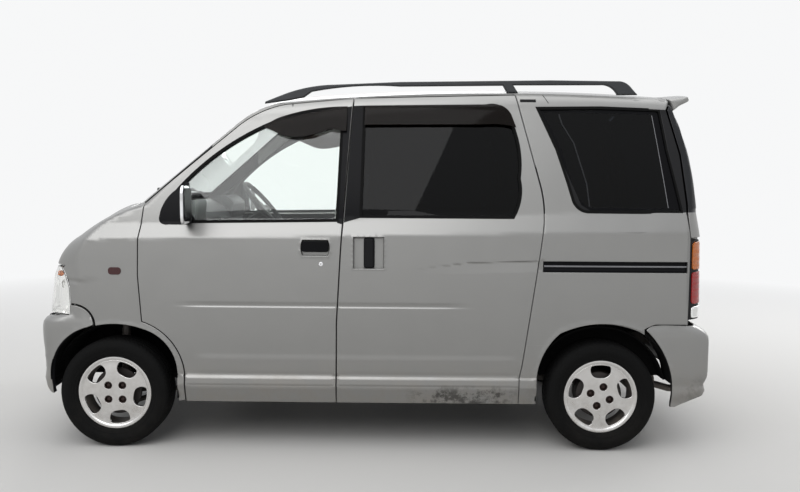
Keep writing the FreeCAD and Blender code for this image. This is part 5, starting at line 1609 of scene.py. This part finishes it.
class KEIVAN_OT_lamps(bpy.types.Operator):
    """Headlamps, fog lamps, tail lamps and side markers"""

    bl_idname = "kei_van.lamps"
    bl_label = "Lamps"

    def execute(self, context):
        globe = Globe((-1420, -470, 790), (-1, -0.5, 0), 230)
        lens = globe.flat(headlamp_loop(0))
        cut("headlamp_lens", globe, lens, "root", "lamp_clear", "lamp_glass", replaces=["headlamps"], inset=1.0,
            roll=2.5, depth=3.0, step=9, relief=flutes)
        cut("headlamp_bowl", globe, lens, "root", ("reflector", "trim_black"), "mirror_chrome", inset=2.0, roll=1.0,
            depth=2.0, lift=-6.0, step=7, relief=bowl_relief(globe, grown(lens, -2.0), 46.0, 48.0, lens_bulge))
        bulb = pillow((-1612, -560, 770), (-1566, -508, 822), 2.2, 18, 24)
        amber = pillow((-1590, -640, 846), (-1560, -606, 876), 2.2, 14, 20)
        pair("headlamp_bulb", bulb, "root", "lamp_clear", "lamp_glass")
        pair("headlamp_amber", amber, "root", "lamp_amber", "lamp_glass")

        fog = carried(ellipse(560, 372, 122, 110), AHEAD_OF_BUMPER, ROUND_FRONT_BUMPER)
        cut("fog_lens", ROUND_FRONT_BUMPER, fog, "root", "lamp_clear", "lamp_glass", roll=2.0, depth=3.0, lift=-9.0,
            step=8)
        cut("fog_bowl", ROUND_FRONT_BUMPER, grown(fog, 4), "root", ("reflector", "trim_black"), "mirror_chrome",
            roll=1.0, depth=2.0, lift=-13.0, step=6, relief=bowl_relief(ROUND_FRONT_BUMPER, fog, 22.0, 40.0))

        globe = Globe((1300, -330, 860), (0.75, -0.66, 0), 380)
        whole = globe.flat(tail_lamp_loop(660, 1056))
        cut("tail_lamp_case", globe, whole, "root", "trim_black", "lamp_red", replaces=["tail_lamps"], inset=0.5,
            roll=2.0, depth=26.0, lift=-5.0, step=16)
        for word, low, high, finish in (("amber", 908, 1046, "lamp_amber"), ("red", 738, 898, "lamp_red"),
                                        ("clear", 668, 728, "reflector")):
            part = rounded(globe.flat(tail_lamp_loop(low, high, 1572.0, -611.0)), 6)
            cut("tail_lamp_" + word, globe, part, "root", finish, "lamp_red" if word == "red" else "lamp_glass",
                roll=3.0, depth=8.0, lift=0.0, step=7, relief=prisms)
        cut("side_marker", FROM_LEFT, box_outline(-1297, -1233, 868, 905, 16), "root", "marker_red", "lamp_red",
            roll=2.5, depth=4.0, lift=4.0, step=8)
        return {"FINISHED"}


def lens_bulge(p):
    """How far the lens stands out: smooth steps from the fender's edge and from the middle, times a
    height that grows downwards."""
    edge_z, edge_x = np.array(HEADLAMP_SIDE)[::-1].T[::-1]
    from_edge = smooth((np.interp(p[:, 2], edge_z, edge_x) - p[:, 0]) / 75)
    height = np.interp(p[:, 2], (664, 700, 850, 903), (26, 27, 15, 0))
    return height * from_edge * smooth((np.abs(p[:, 1]) - 400) / 190)


def flutes(p):
    """The lens's bulge, and fine upright flutes in it: a sine of the way round the corner."""
    return lens_bulge(p) + 0.25 * np.sin((p[:, 0] * 0.5 - p[:, 1]) * 2 * math.pi / 24)


def prisms(p):
    """Level ribs moulded in a tail lamp: a sine of the height."""
    return 0.35 * np.sin(p[:, 2] * 2 * math.pi / 12)


class KEIVAN_OT_handles(bpy.types.Operator):
    """Door handles in their bowls, keyholes, mirrors and the cover of the slide rail"""

    bl_idname = "kei_van.handles"
    bl_label = "Handles, mirrors and rail covers"

    def execute(self, context):
        bowl = dict(inset=-5.0, roll=1.0, depth=4.0, step=16)
        cut("handle_bowl_front", FROM_LEFT, dense(FRONT_HANDLE, 5), "front_door_{}", ("silver_paint", "trim_black"),
            "body_paint", lift=-21.0, **bowl)
        paddle = rounded(dense([(-344, 986), (-212, 986), (-212, 1041), (-344, 1041)], 5), 5)
        cut("handle_front", FROM_LEFT, paddle, "front_door_{}", "gloss_black", roll=5.0, depth=9.0, lift=-2.0, step=9)
        cut("handle_bowl_slide", FROM_LEFT, dense(SLIDE_HANDLE, 5), "root", "silver_paint", "body_paint", lift=-25.0,
            **bowl)
        grip = rounded(dense([(-38, 908), (10, 908), (10, 1059), (-38, 1059)], 5), 6)
        cut("handle_slide", FROM_LEFT, grip, "root", "trim_black", roll=9.0, depth=14.0, lift=-5.0, step=8)
        cut("handle_slide_foot", FROM_LEFT, grown(grip, 3.0), "root", "gloss_black", roll=1.0, depth=6.0, lift=-19.0,
            step=16)
        cut("keyhole_ring", FROM_LEFT, ellipse(-249, 928, 21, 21, 28), "front_door_{}", "chrome", "mirror_chrome",
            roll=1.5, depth=3.0, lift=2.0, step=6)
        cut("keyhole", FROM_LEFT, ellipse(-249, 928, 3, 12, 16), "front_door_{}", "trim_black", roll=0.4, depth=1.0,
            lift=2.3, step=6)

        cut("slide_rail_cover", FROM_LEFT, dense(SLIDE_RAIL, 8), "root", "gloss_black", inset=-0.5, roll=1.0,
            depth=6.0, lift=-9.0, step=12, relief=rail_relief, lines=(904, 909, 915, 921, 927, 933, 939))
        cut("slide_rail_line", FROM_LEFT, dense([(842, 921), (1541, 921), (1541, 929), (841, 929)], 8), "root",
            "trim_pale", roll=2.5, depth=5.0, lift=-2.6, step=12)

        shell = pillow((-928, -868, 1122), (-880, -722, 1307), 5.0)
        shell[0][:, 0] = -880 + (shell[0][:, 0] + 880) * (0.42 + 0.58 * smooth((shell[0][:, 1] + 868) / 146))
        pair("mirror_shell", shell, "front_door_{}", "chrome", "mirror_chrome", ["mirror_{}"])
        glass = slab_arrays(box_outline(-856, -734, 1136, 1294, 22), -881.5, -878.5, 1.2, facing_rear)
        pair("mirror_glass", glass, "front_door_{}", "gloss_black", "mirror_chrome")
        arm = pillow((-921, -752, 1116), (-886, -694, 1166), 4.0, 16, 24)
        pair("mirror_arm", arm, "front_door_{}", "trim_black", "trim_black")
        return {"FINISHED"}


def rail_relief(p):
    """Two long ribs on the cover: bell curves across it."""
    z = p[:, 2]
    return 4.0 * np.exp(-((z - 905) / 5) ** 2) + 4.0 * np.exp(-((z - 941) / 4) ** 2)


class KEIVAN_OT_roof_parts(bpy.types.Operator):
    """Roof rails, rear spoiler, screen pillars, cowl, the roof's slots and the wipers"""

    bl_idname = "kei_van.roof_parts"
    bl_label = "Rails, spoiler and pillars"

    def execute(self, context):
        arrays = slab_arrays(dense(RAIL, 6), 541.0, 571.0, 6.5, upright)
        pair("roof_rail", arrays, "root", "rail_grey", "rail_grey", ["roof_rails"])

        profile = rounded(dense(SPOILER, 4), 2)
        middle = profile.mean(0)
        y = np.concatenate([-548 + 15 * (1 - np.cos(np.linspace(0.15, math.pi / 2, 6))), np.linspace(-528, 528, 67),
                            548 - 15 * (1 - np.cos(np.linspace(math.pi / 2, 0.15, 6)))])
        y = np.sort(y)
        scale = np.sqrt(1 - np.clip((np.abs(y) - 533) / 15.2, 0, 1) ** 2)
        sections = middle + (profile - middle) * scale[:, None, None]
        bow = ((y / 545) ** 2)[:, None]
        share = (sections[:, :, 0] - 1484) / 129
        points = np.stack([
            sections[:, :, 0] - 30 * bow * share, np.broadcast_to(y[:, None], sections.shape[:2]),
            sections[:, :, 1] - SPOILER_DROP * bow * (1 - 0.14 * share)], 2).reshape(-1, 3)
        points = np.concatenate([points, points.reshape(len(y), -1, 3)[[0, -1]].mean(1)])
        body_piece("spoiler", (points, capped(points, len(y), len(profile))), "tailgate", "silver_paint",
                   "body_paint", ["rear_spoiler"])

        pillar = Flat((-0.5, -0.8660254, 0), (0.8660254, -0.5, 0), (0, 0, 1), 1000, 100)
        door = side_line([(-1136, 1222), (-696, 1596), ((-606, 1661), (-448, 1721))])
        roof = FROM_ABOVE.run([(-448, -577), (-575, -577)], 8)
        screen = FROM_FRONT.run([(536, 1690), (572, 1480), (604, 1243), (604, 1236)], 8)
        cut("screen_pillar", pillar, pillar.flat(np.concatenate([door, roof, screen])), "root", "silver_paint",
            "body_paint", roll=1.6, depth=3.0, lift=1.0, step=10)
        cowl = dense([(600, 1224), (-600, 1224), (-602, 1243), (602, 1243)])
        cut("cowl", FROM_FRONT, cowl, "root", "trim_black", twins=False, roll=1.5, depth=10.0, lift=-2.0, step=30)
        slot = dense([(727, 1728), (805, 1728), (805, 1742), (727, 1742)], 6)
        cut("roof_slot", FROM_LEFT, slot, "root", "trim_black", roll=1.0, depth=2.0, lift=2.4, step=20)

        for word, facing, lift, path, body in (
                ("screen_right", FROM_FRONT, 13, [(-470, 1250), (-300, 1272), (-60, 1280), (60, 1282)], "root"),
                ("screen_left", FROM_FRONT, 13, [(60, 1252), (200, 1270), (420, 1278), (540, 1280)], "root"),
                ("rear", FROM_REAR, 12, [(0, 1112), (-40, 1150), (-200, 1168), (-360, 1176)], "tailgate")):
            line = facing.run(path, 12)
            line += form_normals(outside, line) * (lift - 6.0 * np.linspace(0, 1, len(line))[:, None])
            arm = tube(line[:len(line) // 2 + 2], 5.0, 10, 0.6)
            blade = tube(line[len(line) // 4:], 4.0, 8, 2.2)
            foot = pillow(line[0] - (11, 12, 8), line[0] + (11, 12, 10), 2.6, 12, 20)
            body_piece("wiper_" + word, merged([arm, blade, foot]), body, "trim_black", "trim_black")
        return {"FINISHED"}


class KEIVAN_OT_nose(bpy.types.Operator):
    """Grille, intake bars, the two blank number plates and the garnish over the rear one"""

    bl_idname = "kei_van.nose"
    bl_label = "Grille and plates"

    def execute(self, context):
        slots = [box_outline(-350, 350, z, z + 26, 8) for z in (722, 772, 822)]
        outline = box_outline(-384, 384, 664, 886, 12)
        cut("grille_frame", FROM_FRONT, outline, "root", "trim_black", holes=slots, replaces=["grille"], twins=False,
            roll=4.0, depth=20.0, step=12)
        bars = []
        for z in (340, 370, 400):
            bars.append(tube([(-1650 + 30 * (y / 420) ** 2, y, z) for y in np.linspace(-418, 418, 24)], 4.5, 8))
        for y in np.linspace(-360, 360, 9):
            x = -1650 + 30 * (y / 420) ** 2
            bars.append(tube([(x, y, 312), (x, y, 370), (x, y, 428)], 3.5, 8))
        body_piece("intake_bars", merged(bars), "root", "trim_black", "trim_black")
        for word, z, x0, x1, sign, body in (("front", 510, 1687.5, 1690.0, -1, "root"),
                                            ("rear", 880, 1659.0, 1661.5, 1, "tailgate")):
            plate = slab_arrays(box_outline(-165, 165, z - 82.5, z + 82.5, 9), x0, x1, 0.8,
                                lambda p, sign=sign: np.column_stack([sign * p[:, 2], sign * p[:, 0], p[:, 1]]))
            body_piece("plate_" + word, (*plate[:3], None), body, "plate_white", "clear_glass")
            screws = []
            for y in (-105.0, 105.0):
                cap = turned([(0.01, -1), (0.01, 3.2), (3, 3), (5.5, 2), (6.5, 0), (6.5, -1)], 20)
                screws.append((np.column_stack([sign * (x1 - cap[0][:, 1]), cap[0][:, 0] * sign + y,
                                                cap[0][:, 2] + z]), cap[1]))
            points, faces = merged(screws)
            body_piece("screws_" + word, (points, turned_out(points, faces)), body, "chrome",
                       "mirror_chrome")
        garnish = dense([(-190, 985), (190, 985), (176, 1016), (-176, 1016)])
        cut("plate_garnish", FROM_REAR, garnish, "tailgate", ("silver_paint", "trim_black"), "body_paint",
            twins=False, roll=6.0, depth=16.0, lift=14.0, step=12)
        return {"FINISHED"}


WHEELS = {
    "front_left": (-1282.5, -652.5), "front_right": (-1282.5, 652.5),
    "rear_left": (1137.5, -650.0), "rear_right": (1137.5, 650.0),
}
AXLE_HEIGHT = TYRE_RADIUS = 272.5
WINDOW_ANGLES = {"front": 63.0, "rear": 90.0}
WINDOW_OUTLINE = [
    (93, -17), (97, -31), ((128, -50), (150, -47)), ((157, 0), (150, 47)), ((128, 50), (97, 31)), (93, 17)]
disc_height = spline((0, 27, 44, 58, 76, 96, 120, 138, 152, 162, 168),
                     (56.5, 56.5, 56.5, 56.5, 56.8, 57, 57, 56.5, 56.5, 57.5, 59))
LUG_CUP = [(0.01, 40), (0.01, 42), (14.0, 42), (15.8, 57.2), (17.5, 57.8), (18.6, 57.0), (18.6, 52), (16.5, 40)]
BRAKE_PROFILES = {
    "front": [(0.01, 16), (0.01, 38), (66, 38), (70, 34), (70, 16), (116, 16), (118, 14), (118, 4), (116, 2), (40, 2),
              (40, 16)],
    "rear": [(0.01, 20), (0.01, 38), (40, 38), (44, 26), (106, 24), (114, 20), (116, 12), (116, -32), (118, -34),
             (118, -38), (100, -38), (100, 12)],
}
DISC_FACE = Flat((0, -1, 0), (1, 0, 0), (0, 0, 1), 62, -80,
                 lambda p: (-p[:, 1] - disc_height(np.hypot(p[:, 0], p[:, 2]))[:, 0]) * 0.97)
RIM_PROFILE = [
    (161, 38), (161, 53), (163, 56.5), (166, 58.5), (170, 60.5), (175, 61.8), (179, 62), (181.4, 61.4), (182.4, 59.5),
    (182.4, 56), (180, 53.5), (172, 51), (168, 47), (165, 38), (164, 30), (163, 23), (162, 10), (160, -22),
    (156, -28), (163, -38), (167, -50), (180, -53.5), (182.4, -56), (182.4, -60), (180, -62), (175, -61.5),
    (164, -52), (157, -45), (154, -34), (154, -10), (156, 18)]
TYRE_PROFILE = [
    (184, -62), (184, 62), (189, 68.5), (196, 71), (200, 72.5), (203, 74.8), (206, 74.5), (212, 77.5), (222, 80.5),
    (230, 81.6), (238, 81.2), (246, 79), (253, 75.5), (256, 74.8), (259, 72.5), (264, 68.5), (268, 63.5), (270.6, 58),
    (271.6, 52), (272, 46)]
TREAD_EDGE = 62.0
TYRE_STEPS = 288


def tread_depth(across, angle):
    """How deep the tread is cut: three grooves round the tyre and slanted sipes to its shoulders."""
    depth = np.zeros(np.broadcast(across, angle).shape)
    for line in (-27.0, 0.0, 27.0):
        depth = np.maximum(depth, 6.0 * (np.abs(across - line) < 3.2))
    turn = angle * 72 / (2 * math.pi) + np.abs(across) * 0.03
    sipe = (turn % 1.0) < 0.2
    depth = np.maximum(depth, 4.5 * sipe * (np.abs(across) > 30) * (np.abs(across) < TREAD_EDGE + 4))
    fine = ((turn + 0.5) % 1.0) < 0.13
    return np.maximum(depth, 3.0 * fine * (np.abs(across) < 24) * (np.abs(across) > 4))


def tyre_arrays():
    """The tyre's section carried round the axle, lowered by the tread's depth."""
    half = np.array(TYRE_PROFILE, float)
    across = np.array([44, 40, 36, 33, 31, 30.3, 23.9, 23.2, 18, 12, 6, 4, 3.3, 3.1, -3.1, -3.3])
    middle = np.column_stack([TYRE_RADIUS - (across / 46) ** 2 * 0.5, across])
    right = np.concatenate([half[1:], middle[across > 0]])
    section = np.concatenate([right, (right * (1, -1))[::-1]])
    return turned(section, TYRE_STEPS,
                  lambda radius, height, angle: radius - tread_depth(height, angle) * (radius > 262))


def spun(points, degrees):
    """Points turned about the Y axis, so that X goes towards Z."""
    c, s = math.cos(math.radians(degrees)), math.sin(math.radians(degrees))
    return np.column_stack([points[:, 0] * c - points[:, 2] * s, points[:, 1], points[:, 0] * s + points[:, 2] * c])


class KEIVAN_OT_wheels(bpy.types.Operator):
    """Wheels with their windows, lug cups and nuts, the brakes behind them, and the tyres"""

    bl_idname = "kei_van.wheels"
    bl_label = "Wheels and tyres"

    def execute(self, context):
        outline = ellipse(0, 0, 329, 329, 150)
        windows = []
        for k in range(5):
            turn = math.radians(72 * k)
            spin = np.array([(math.cos(turn), math.sin(turn)), (-math.sin(turn), math.cos(turn))])
            windows.append(rounded(dense(WINDOW_OUTLINE, 4), 3) @ spin)
        cups = [ellipse(50 * math.cos(math.radians(90 * k - 18)), 50 * math.sin(math.radians(90 * k - 18)), 37, 37, 30)
                for k in range(4)]
        disc, disc_faces, disc_normals, _ = panel_arrays(
            DISC_FACE, outline, windows + cups, step=7.0, roll=2.5, depth=12.0)
        rim, rim_faces = turned(RIM_PROFILE, 120)
        heights = -rim[np.asarray(rim_faces)][:, :, 1].mean(1)
        barrel = (heights < 42).astype(int).tolist()
        tyre, tyre_faces = tyre_arrays()
        hexagon = np.column_stack([np.cos(np.arange(6) * math.pi / 3), np.sin(np.arange(6) * math.pi / 3)])
        nut = slab_arrays(dense([tuple(v) for v in hexagon * 10.5], 6), 34.0, 51.0, 2.5, upright)
        # The cups line the lug recesses and take the nuts' dark brown: painted shade of the holes.
        cup = turned(LUG_CUP, 32)
        brakes = {corner: turned(profile, 72) for corner, profile in BRAKE_PROFILES.items()}
        for name, (x, y) in WHEELS.items():
            corner, word = name.split("_")
            sign = 1 if word == "left" else -1
            window_angle = WINDOW_ANGLES[corner]
            centre = np.array((x, y, AXLE_HEIGHT))
            flip = np.array((1, sign, 1))
            body = "wheel_" + name

            def placed(points, degrees=0.0):
                return spun(points, degrees) * flip + centre

            def wound(faces):
                return [list(f) if sign == 1 else list(f)[::-1] for f in faces]

            obj = make_object(name + "_disc", placed(disc, window_angle), wound(disc_faces),
                              spun(disc_normals, window_angle) * flip, ["wheel_metal"])
            finish_piece(obj, body, [name + "_wheel"])
            obj = make_object(name + "_rim", placed(rim), wound(rim_faces), None, ["wheel_metal", "steel_dark"], barrel)
            finish_piece(obj, body, [name + "_wheel"])
            nuts = merged([(placed(spun(part[0] + (50, 0, 0), 90 * k), window_angle - 18), wound(part[1]))
                           for k in range(4) for part in (nut, cup)])
            finish_piece(make_object(name + "_lugs", *nuts, None, ["lug_brown"]), body)
            brake, brake_faces = brakes[corner]
            obj = make_object(name + "_brake", placed(brake), wound(brake_faces), None, ["brake_iron"])
            finish_piece(obj, body)
            obj = make_object(name + "_rubber", placed(tyre), wound(tyre_faces), None, ["rubber"])
            finish_piece(obj, body, [name + "_tyre"])
        return {"FINISHED"}


def mesh_points(mesh):
    """A mesh's points as an array of metres."""
    points = np.empty(len(mesh.vertices) * 3, np.float32)
    mesh.vertices.foreach_get("co", points)
    return points.reshape(-1, 3).astype(float)


FILL_FRAMES = 20
SEAM_WIDTH, PAD_SPARE = 5.0, 6.0


def blown_up(obj, cap):
    """Fills a closed mesh as cloth under pressure. No point moves further than the cap."""
    start = mesh_points(obj.data)
    cloth = obj.modifiers.new("cloth", "CLOTH")
    settings = cloth.settings
    settings.quality, settings.mass = 5, 0.3
    settings.tension_stiffness = settings.compression_stiffness = 12
    settings.shear_stiffness, settings.bending_stiffness = 6, 0.8
    settings.use_pressure, settings.uniform_pressure_force = True, 4.0
    settings.effector_weights.gravity = 0.0
    cloth.collision_settings.use_collision = False
    cloth.point_cache.frame_start, cloth.point_cache.frame_end = 1, FILL_FRAMES
    for moment in range(1, FILL_FRAMES + 1):
        bpy.context.scene.frame_set(moment)
    filled = mesh_points(obj.evaluated_get(bpy.context.evaluated_depsgraph_get()).data)
    obj.modifiers.remove(cloth)
    bpy.context.scene.frame_set(1)
    move = filled - start
    length = np.linalg.norm(move, axis=1)[:, None]
    move *= np.minimum(1, cap * MM / np.maximum(length, 1e-9))
    obj.data.vertices.foreach_set("co", (start + move).astype(np.float32).ravel())
    obj.data.update()


def remade(obj, kind, **values):
    """Applies one modifier to a mesh object."""
    modifier = obj.modifiers.new(kind.lower(), kind)
    for name, value in values.items():
        setattr(modifier, name, value)
    mesh = bpy.data.meshes.new_from_object(obj.evaluated_get(bpy.context.evaluated_depsgraph_get()))
    obj.modifiers.remove(modifier)
    obj.data = mesh


def pad_arrays(low, high, lean, seams, cap=24.0, voxel=11.0, insert=0.30):
    """A cushion: a rounded block filled by cloth simulation, with its seams pressed in afterwards.

    A seam lies across axis i at a place p: the surface goes in by d exp(-((c_i - p) / w)^2) along its
    normal. The pad then turns about Y through its middle by the lean, and its underside stays flat.
    """
    low, high = np.array(low, float), np.array(high, float)
    shrink = np.minimum(10.0, (high - low) * 0.06)
    points, faces = pillow(low + shrink, high - shrink, 7.0, 30, 44)
    obj = make_object("pad", points, faces)
    remade(obj, "REMESH", mode="VOXEL", voxel_size=voxel * MM, adaptivity=0.0)
    blown_up(obj, cap)
    remade(obj, "SUBSURF", levels=1, render_levels=1)
    mesh = obj.data
    points = mesh_points(mesh) / MM
    normals = np.empty(len(mesh.vertices) * 3, np.float32)
    mesh.vertices.foreach_get("normal", normals)
    normals = normals.reshape(-1, 3)
    for axis, place, depth in seams:
        points -= normals * (depth * np.exp(-((points[:, axis] - place) / SEAM_WIDTH) ** 2))[:, None]
    points = np.clip(points, low - PAD_SPARE, high + PAD_SPARE)
    faces = [list(polygon.vertices) for polygon in mesh.polygons]
    middle = (low + high) / 2
    centres = points[np.array(faces)].mean(1)
    side = np.abs(centres[:, 1] - middle[1]) > (high[1] - low[1]) * insert
    turn = math.radians(lean)
    off = points - middle
    points = middle + np.column_stack([
        off[:, 0] * math.cos(turn) + off[:, 2] * math.sin(turn), off[:, 1],
        off[:, 2] * math.cos(turn) - off[:, 0] * math.sin(turn)])
    bpy.data.objects.remove(obj)
    return points, faces, None, side.astype(int).tolist()


class KEIVAN_OT_seats(bpy.types.Operator):
    """The padded seats, with their plinths and headrest posts"""

    bl_idname = "kei_van.seats"
    bl_label = "Seats"

    def execute(self, context):
        cloth = ("seat_cloth", "seat_side")
        pads = (
            ("seat_base", (-656, -562, 668), (-212, -118, 800), 4.0,
             [(1, -452, 7), (1, -228, 7), (0, -470, 5), (0, -350, 5)], 24.0, 0.8),
            ("seat_back", (-192, -562, 752), (-94, -118, 1316), 11.5,
             [(1, -452, 7), (1, -228, 7), (2, 900, 5), (2, 1030, 5), (2, 1160, 5)], 22.0, 0.75),
            ("headrest", (-104, -452, 1372), (-26, -228, 1506), 8.0, [(1, -340, 0)], 16.0, 0.8))
        for name, low, high, lean, seams, cap, fill in pads:
            for obj in pair(name, pad_arrays(low, high, lean, seams, cap, 14.5), "root", cloth, "seat_fabric",
                            ["front_seats"]):
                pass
        rear = (
            ("rear_seat_base", (332, -556, 655), (742, 556, 836), 3.5,
             [(1, -190, 7), (1, 190, 7), (0, 500, 5), (0, 610, 5)], 26.0, 0.8),
            ("rear_seat_back", (742, -556, 752), (838, 556, 1330), 10.5,
             [(1, 0, 8), (1, -190, 5), (1, 190, 5), (2, 930, 5), (2, 1080, 5)], 24.0, 0.75))
        for name, low, high, lean, seams, cap, fill in rear:
            arrays = pad_arrays(low, high, lean, seams, cap, 21.0, 0.46)
            obj = body_piece(name, arrays, "root", cloth, "seat_fabric", ["rear_seat"])
        foot = dense([(-640, 631), (-640, 676), (-206, 676), (-206, 631)], 20)
        pair("seat_plinth", slab_arrays(foot, 130.0, 550.0, 6.0, upright), "root", "trim_black", "trim_black",
             ["front_seats"])
        posts = merged([tube([(-86, y, 1290), (-72, y, 1340), (-62, y, 1400)], 6.0, 12) for y in (-392.0, -288.0)])
        pair("headrest_posts", posts, "root", "chrome", "mirror_chrome", ["front_seats"])
        foot = dense([(345, 602), (345, 662), (590, 662), (590, 602)], 20)
        body_piece("rear_seat_plinth", slab_arrays(foot, -545.0, 545.0, 5.0, upright), "root", "trim_black",
                   "trim_black", ["rear_seat"])
        return {"FINISHED"}


FLOOR_LINE = [(-720, 425), (-660, 630), (-130, 630), (-90, 600), (600, 600), (660, 650), (1560, 650)]


class KEIVAN_OT_cabin(bpy.types.Operator):
    """Carpets, arm rests, door levers, dashboard fittings, levers and pedals"""

    bl_idname = "kei_van.cabin"
    bl_label = "Cabin"

    def execute(self, context):
        for word, line, half in (("front", [(-1149, 425), (-960, 425)], 398.0),
                                 ("main", [(-958, 425)] + FLOOR_LINE, 648.0)):
            outline = dense(line + [(x, z + 7) for x, z in line[::-1]], 20)
            body_piece("carpet_" + word, slab_arrays(outline, -half, half, 1.0, upright), "root", "carpet",
                       "chassis_black")
        rest = pillow((-706, -694, 822), (-350, -634, 872), 6.0, 16, 40)
        pocket = pillow((-880, -694, 330), (-340, -660, 520), 8.0, 16, 40)
        pair("door_armrest", merged([rest, pocket]), "front_door_{}", "door_card", "dash_plastic")
        lever = pillow((-770, -697, 905), (-660, -680, 934), 3.0, 12, 24)
        pair("door_lever", lever, "front_door_{}", "chrome", "mirror_chrome")
        rest = pillow((120, -694, 812), (520, -640, 862), 6.0, 16, 40)
        pair("slide_armrest", rest, "root", "door_card", "dash_plastic")

        stack = pillow((-935, -118, 885), (-876, 118, 1128), 12.0, 24, 40)
        body_piece("centre_stack", stack, "root", "dash_plastic", "dash_plastic")
        radio = slab_arrays(box_outline(-86, 86, 1002, 1056, 5), -884.0, -872.0, 1.5, facing_rear)
        body_piece("radio", radio, "root", "gloss_black", "dash_plastic")
        knobs = []
        for y in (-62.0, 0.0, 62.0):
            knob = turned([(0.01, 0), (0.01, 15), (11, 14), (14, 11), (16, 0)], 24)
            knobs.append((np.column_stack([-880 - knob[0][:, 1], knob[0][:, 0] + y, knob[0][:, 2] + 958]), knob[1]))
        points, faces = merged(knobs)
        body_piece("heater_knobs", (points, turned_out(points, faces)), "root",
                   "trim_grey", "dash_plastic")
        for word, y0, y1 in (("left", -560, -450), ("middle_left", -102, -8), ("middle_right", 8, 102),
                             ("right", 540, 578)):
            slots = [box_outline(y0 + 8, y1 - 8, z, z + 7, 3) for z in (1082, 1094, 1106)]
            vent = slab_arrays(box_outline(y0, y1, 1074, 1120, 6), -900.0, -874.0, 2.0, facing_rear, slots)
            body_piece("vent_" + word, vent, "root", "trim_black", "dash_plastic")
        dials = slab_arrays(box_outline(212, 498, 1112, 1184, 22), -912.0, -898.0, 3.0, facing_rear)
        body_piece("dial_glass", dials, "root", "gloss_black", "dash_plastic")
        shift = tube([(-800, 40, 430), (-795, 40, 560), (-770, 44, 700)], 8.0, 12)
        knob = pillow((-796, 20, 688), (-746, 68, 742), 2.6, 16, 24)
        brake = tube([(-470, 0, 640), (-400, 0, 668), (-260, 0, 712)], 13.0, 14)
        body_piece("levers", merged([shift, knob, brake]), "root", "trim_black", "dash_plastic")
        pedals = [pillow((-1090, y - 28, 520), (-1072, y + 28, 590), 5.0, 12, 20) for y in (250.0, 330.0, 410.0)]
        pedals += [tube([(-1082, y, 585), (-1100, y, 700), (-1145, y, 800)], 7.0, 10) for y in (250.0, 330.0, 410.0)]
        body_piece("pedals", merged(pedals), "root", "trim_black", "trim_black")
        return {"FINISHED"}


OPERATORS = (KEIVAN_OT_finishes, KEIVAN_OT_stage, KEIVAN_OT_doors, KEIVAN_OT_shell, KEIVAN_OT_glass,
             KEIVAN_OT_bumpers, KEIVAN_OT_lamps, KEIVAN_OT_handles, KEIVAN_OT_roof_parts, KEIVAN_OT_nose,
             KEIVAN_OT_wheels, KEIVAN_OT_seats, KEIVAN_OT_cabin)


class KEIVAN_PT_panel(bpy.types.Panel):
    """The settings, and one button for each group of pieces"""

    bl_label = "Kei Van"
    bl_idname = "KEIVAN_PT_panel"
    bl_space_type = "VIEW_3D"
    bl_region_type = "UI"
    bl_category = "Kei Van"

    def draw(self, context):
        for name in KeiVanLooks.__annotations__:
            self.layout.prop(context.scene.kei_van, name)
        for operator in OPERATORS:
            self.layout.operator(operator.bl_idname)


CLASSES = (KeiVanLooks, *OPERATORS, KEIVAN_PT_panel)


def register():
    for cls in CLASSES:
        bpy.utils.register_class(cls)
    bpy.types.Scene.kei_van = bpy.props.PointerProperty(type=KeiVanLooks)


def unregister():
    del bpy.types.Scene.kei_van
    for cls in reversed(CLASSES):
        bpy.utils.unregister_class(cls)


def main():
    register()
    for operator in OPERATORS:
        getattr(bpy.ops.kei_van, operator.bl_idname.split(".")[1])()


if __name__ == "__main__":
    main()
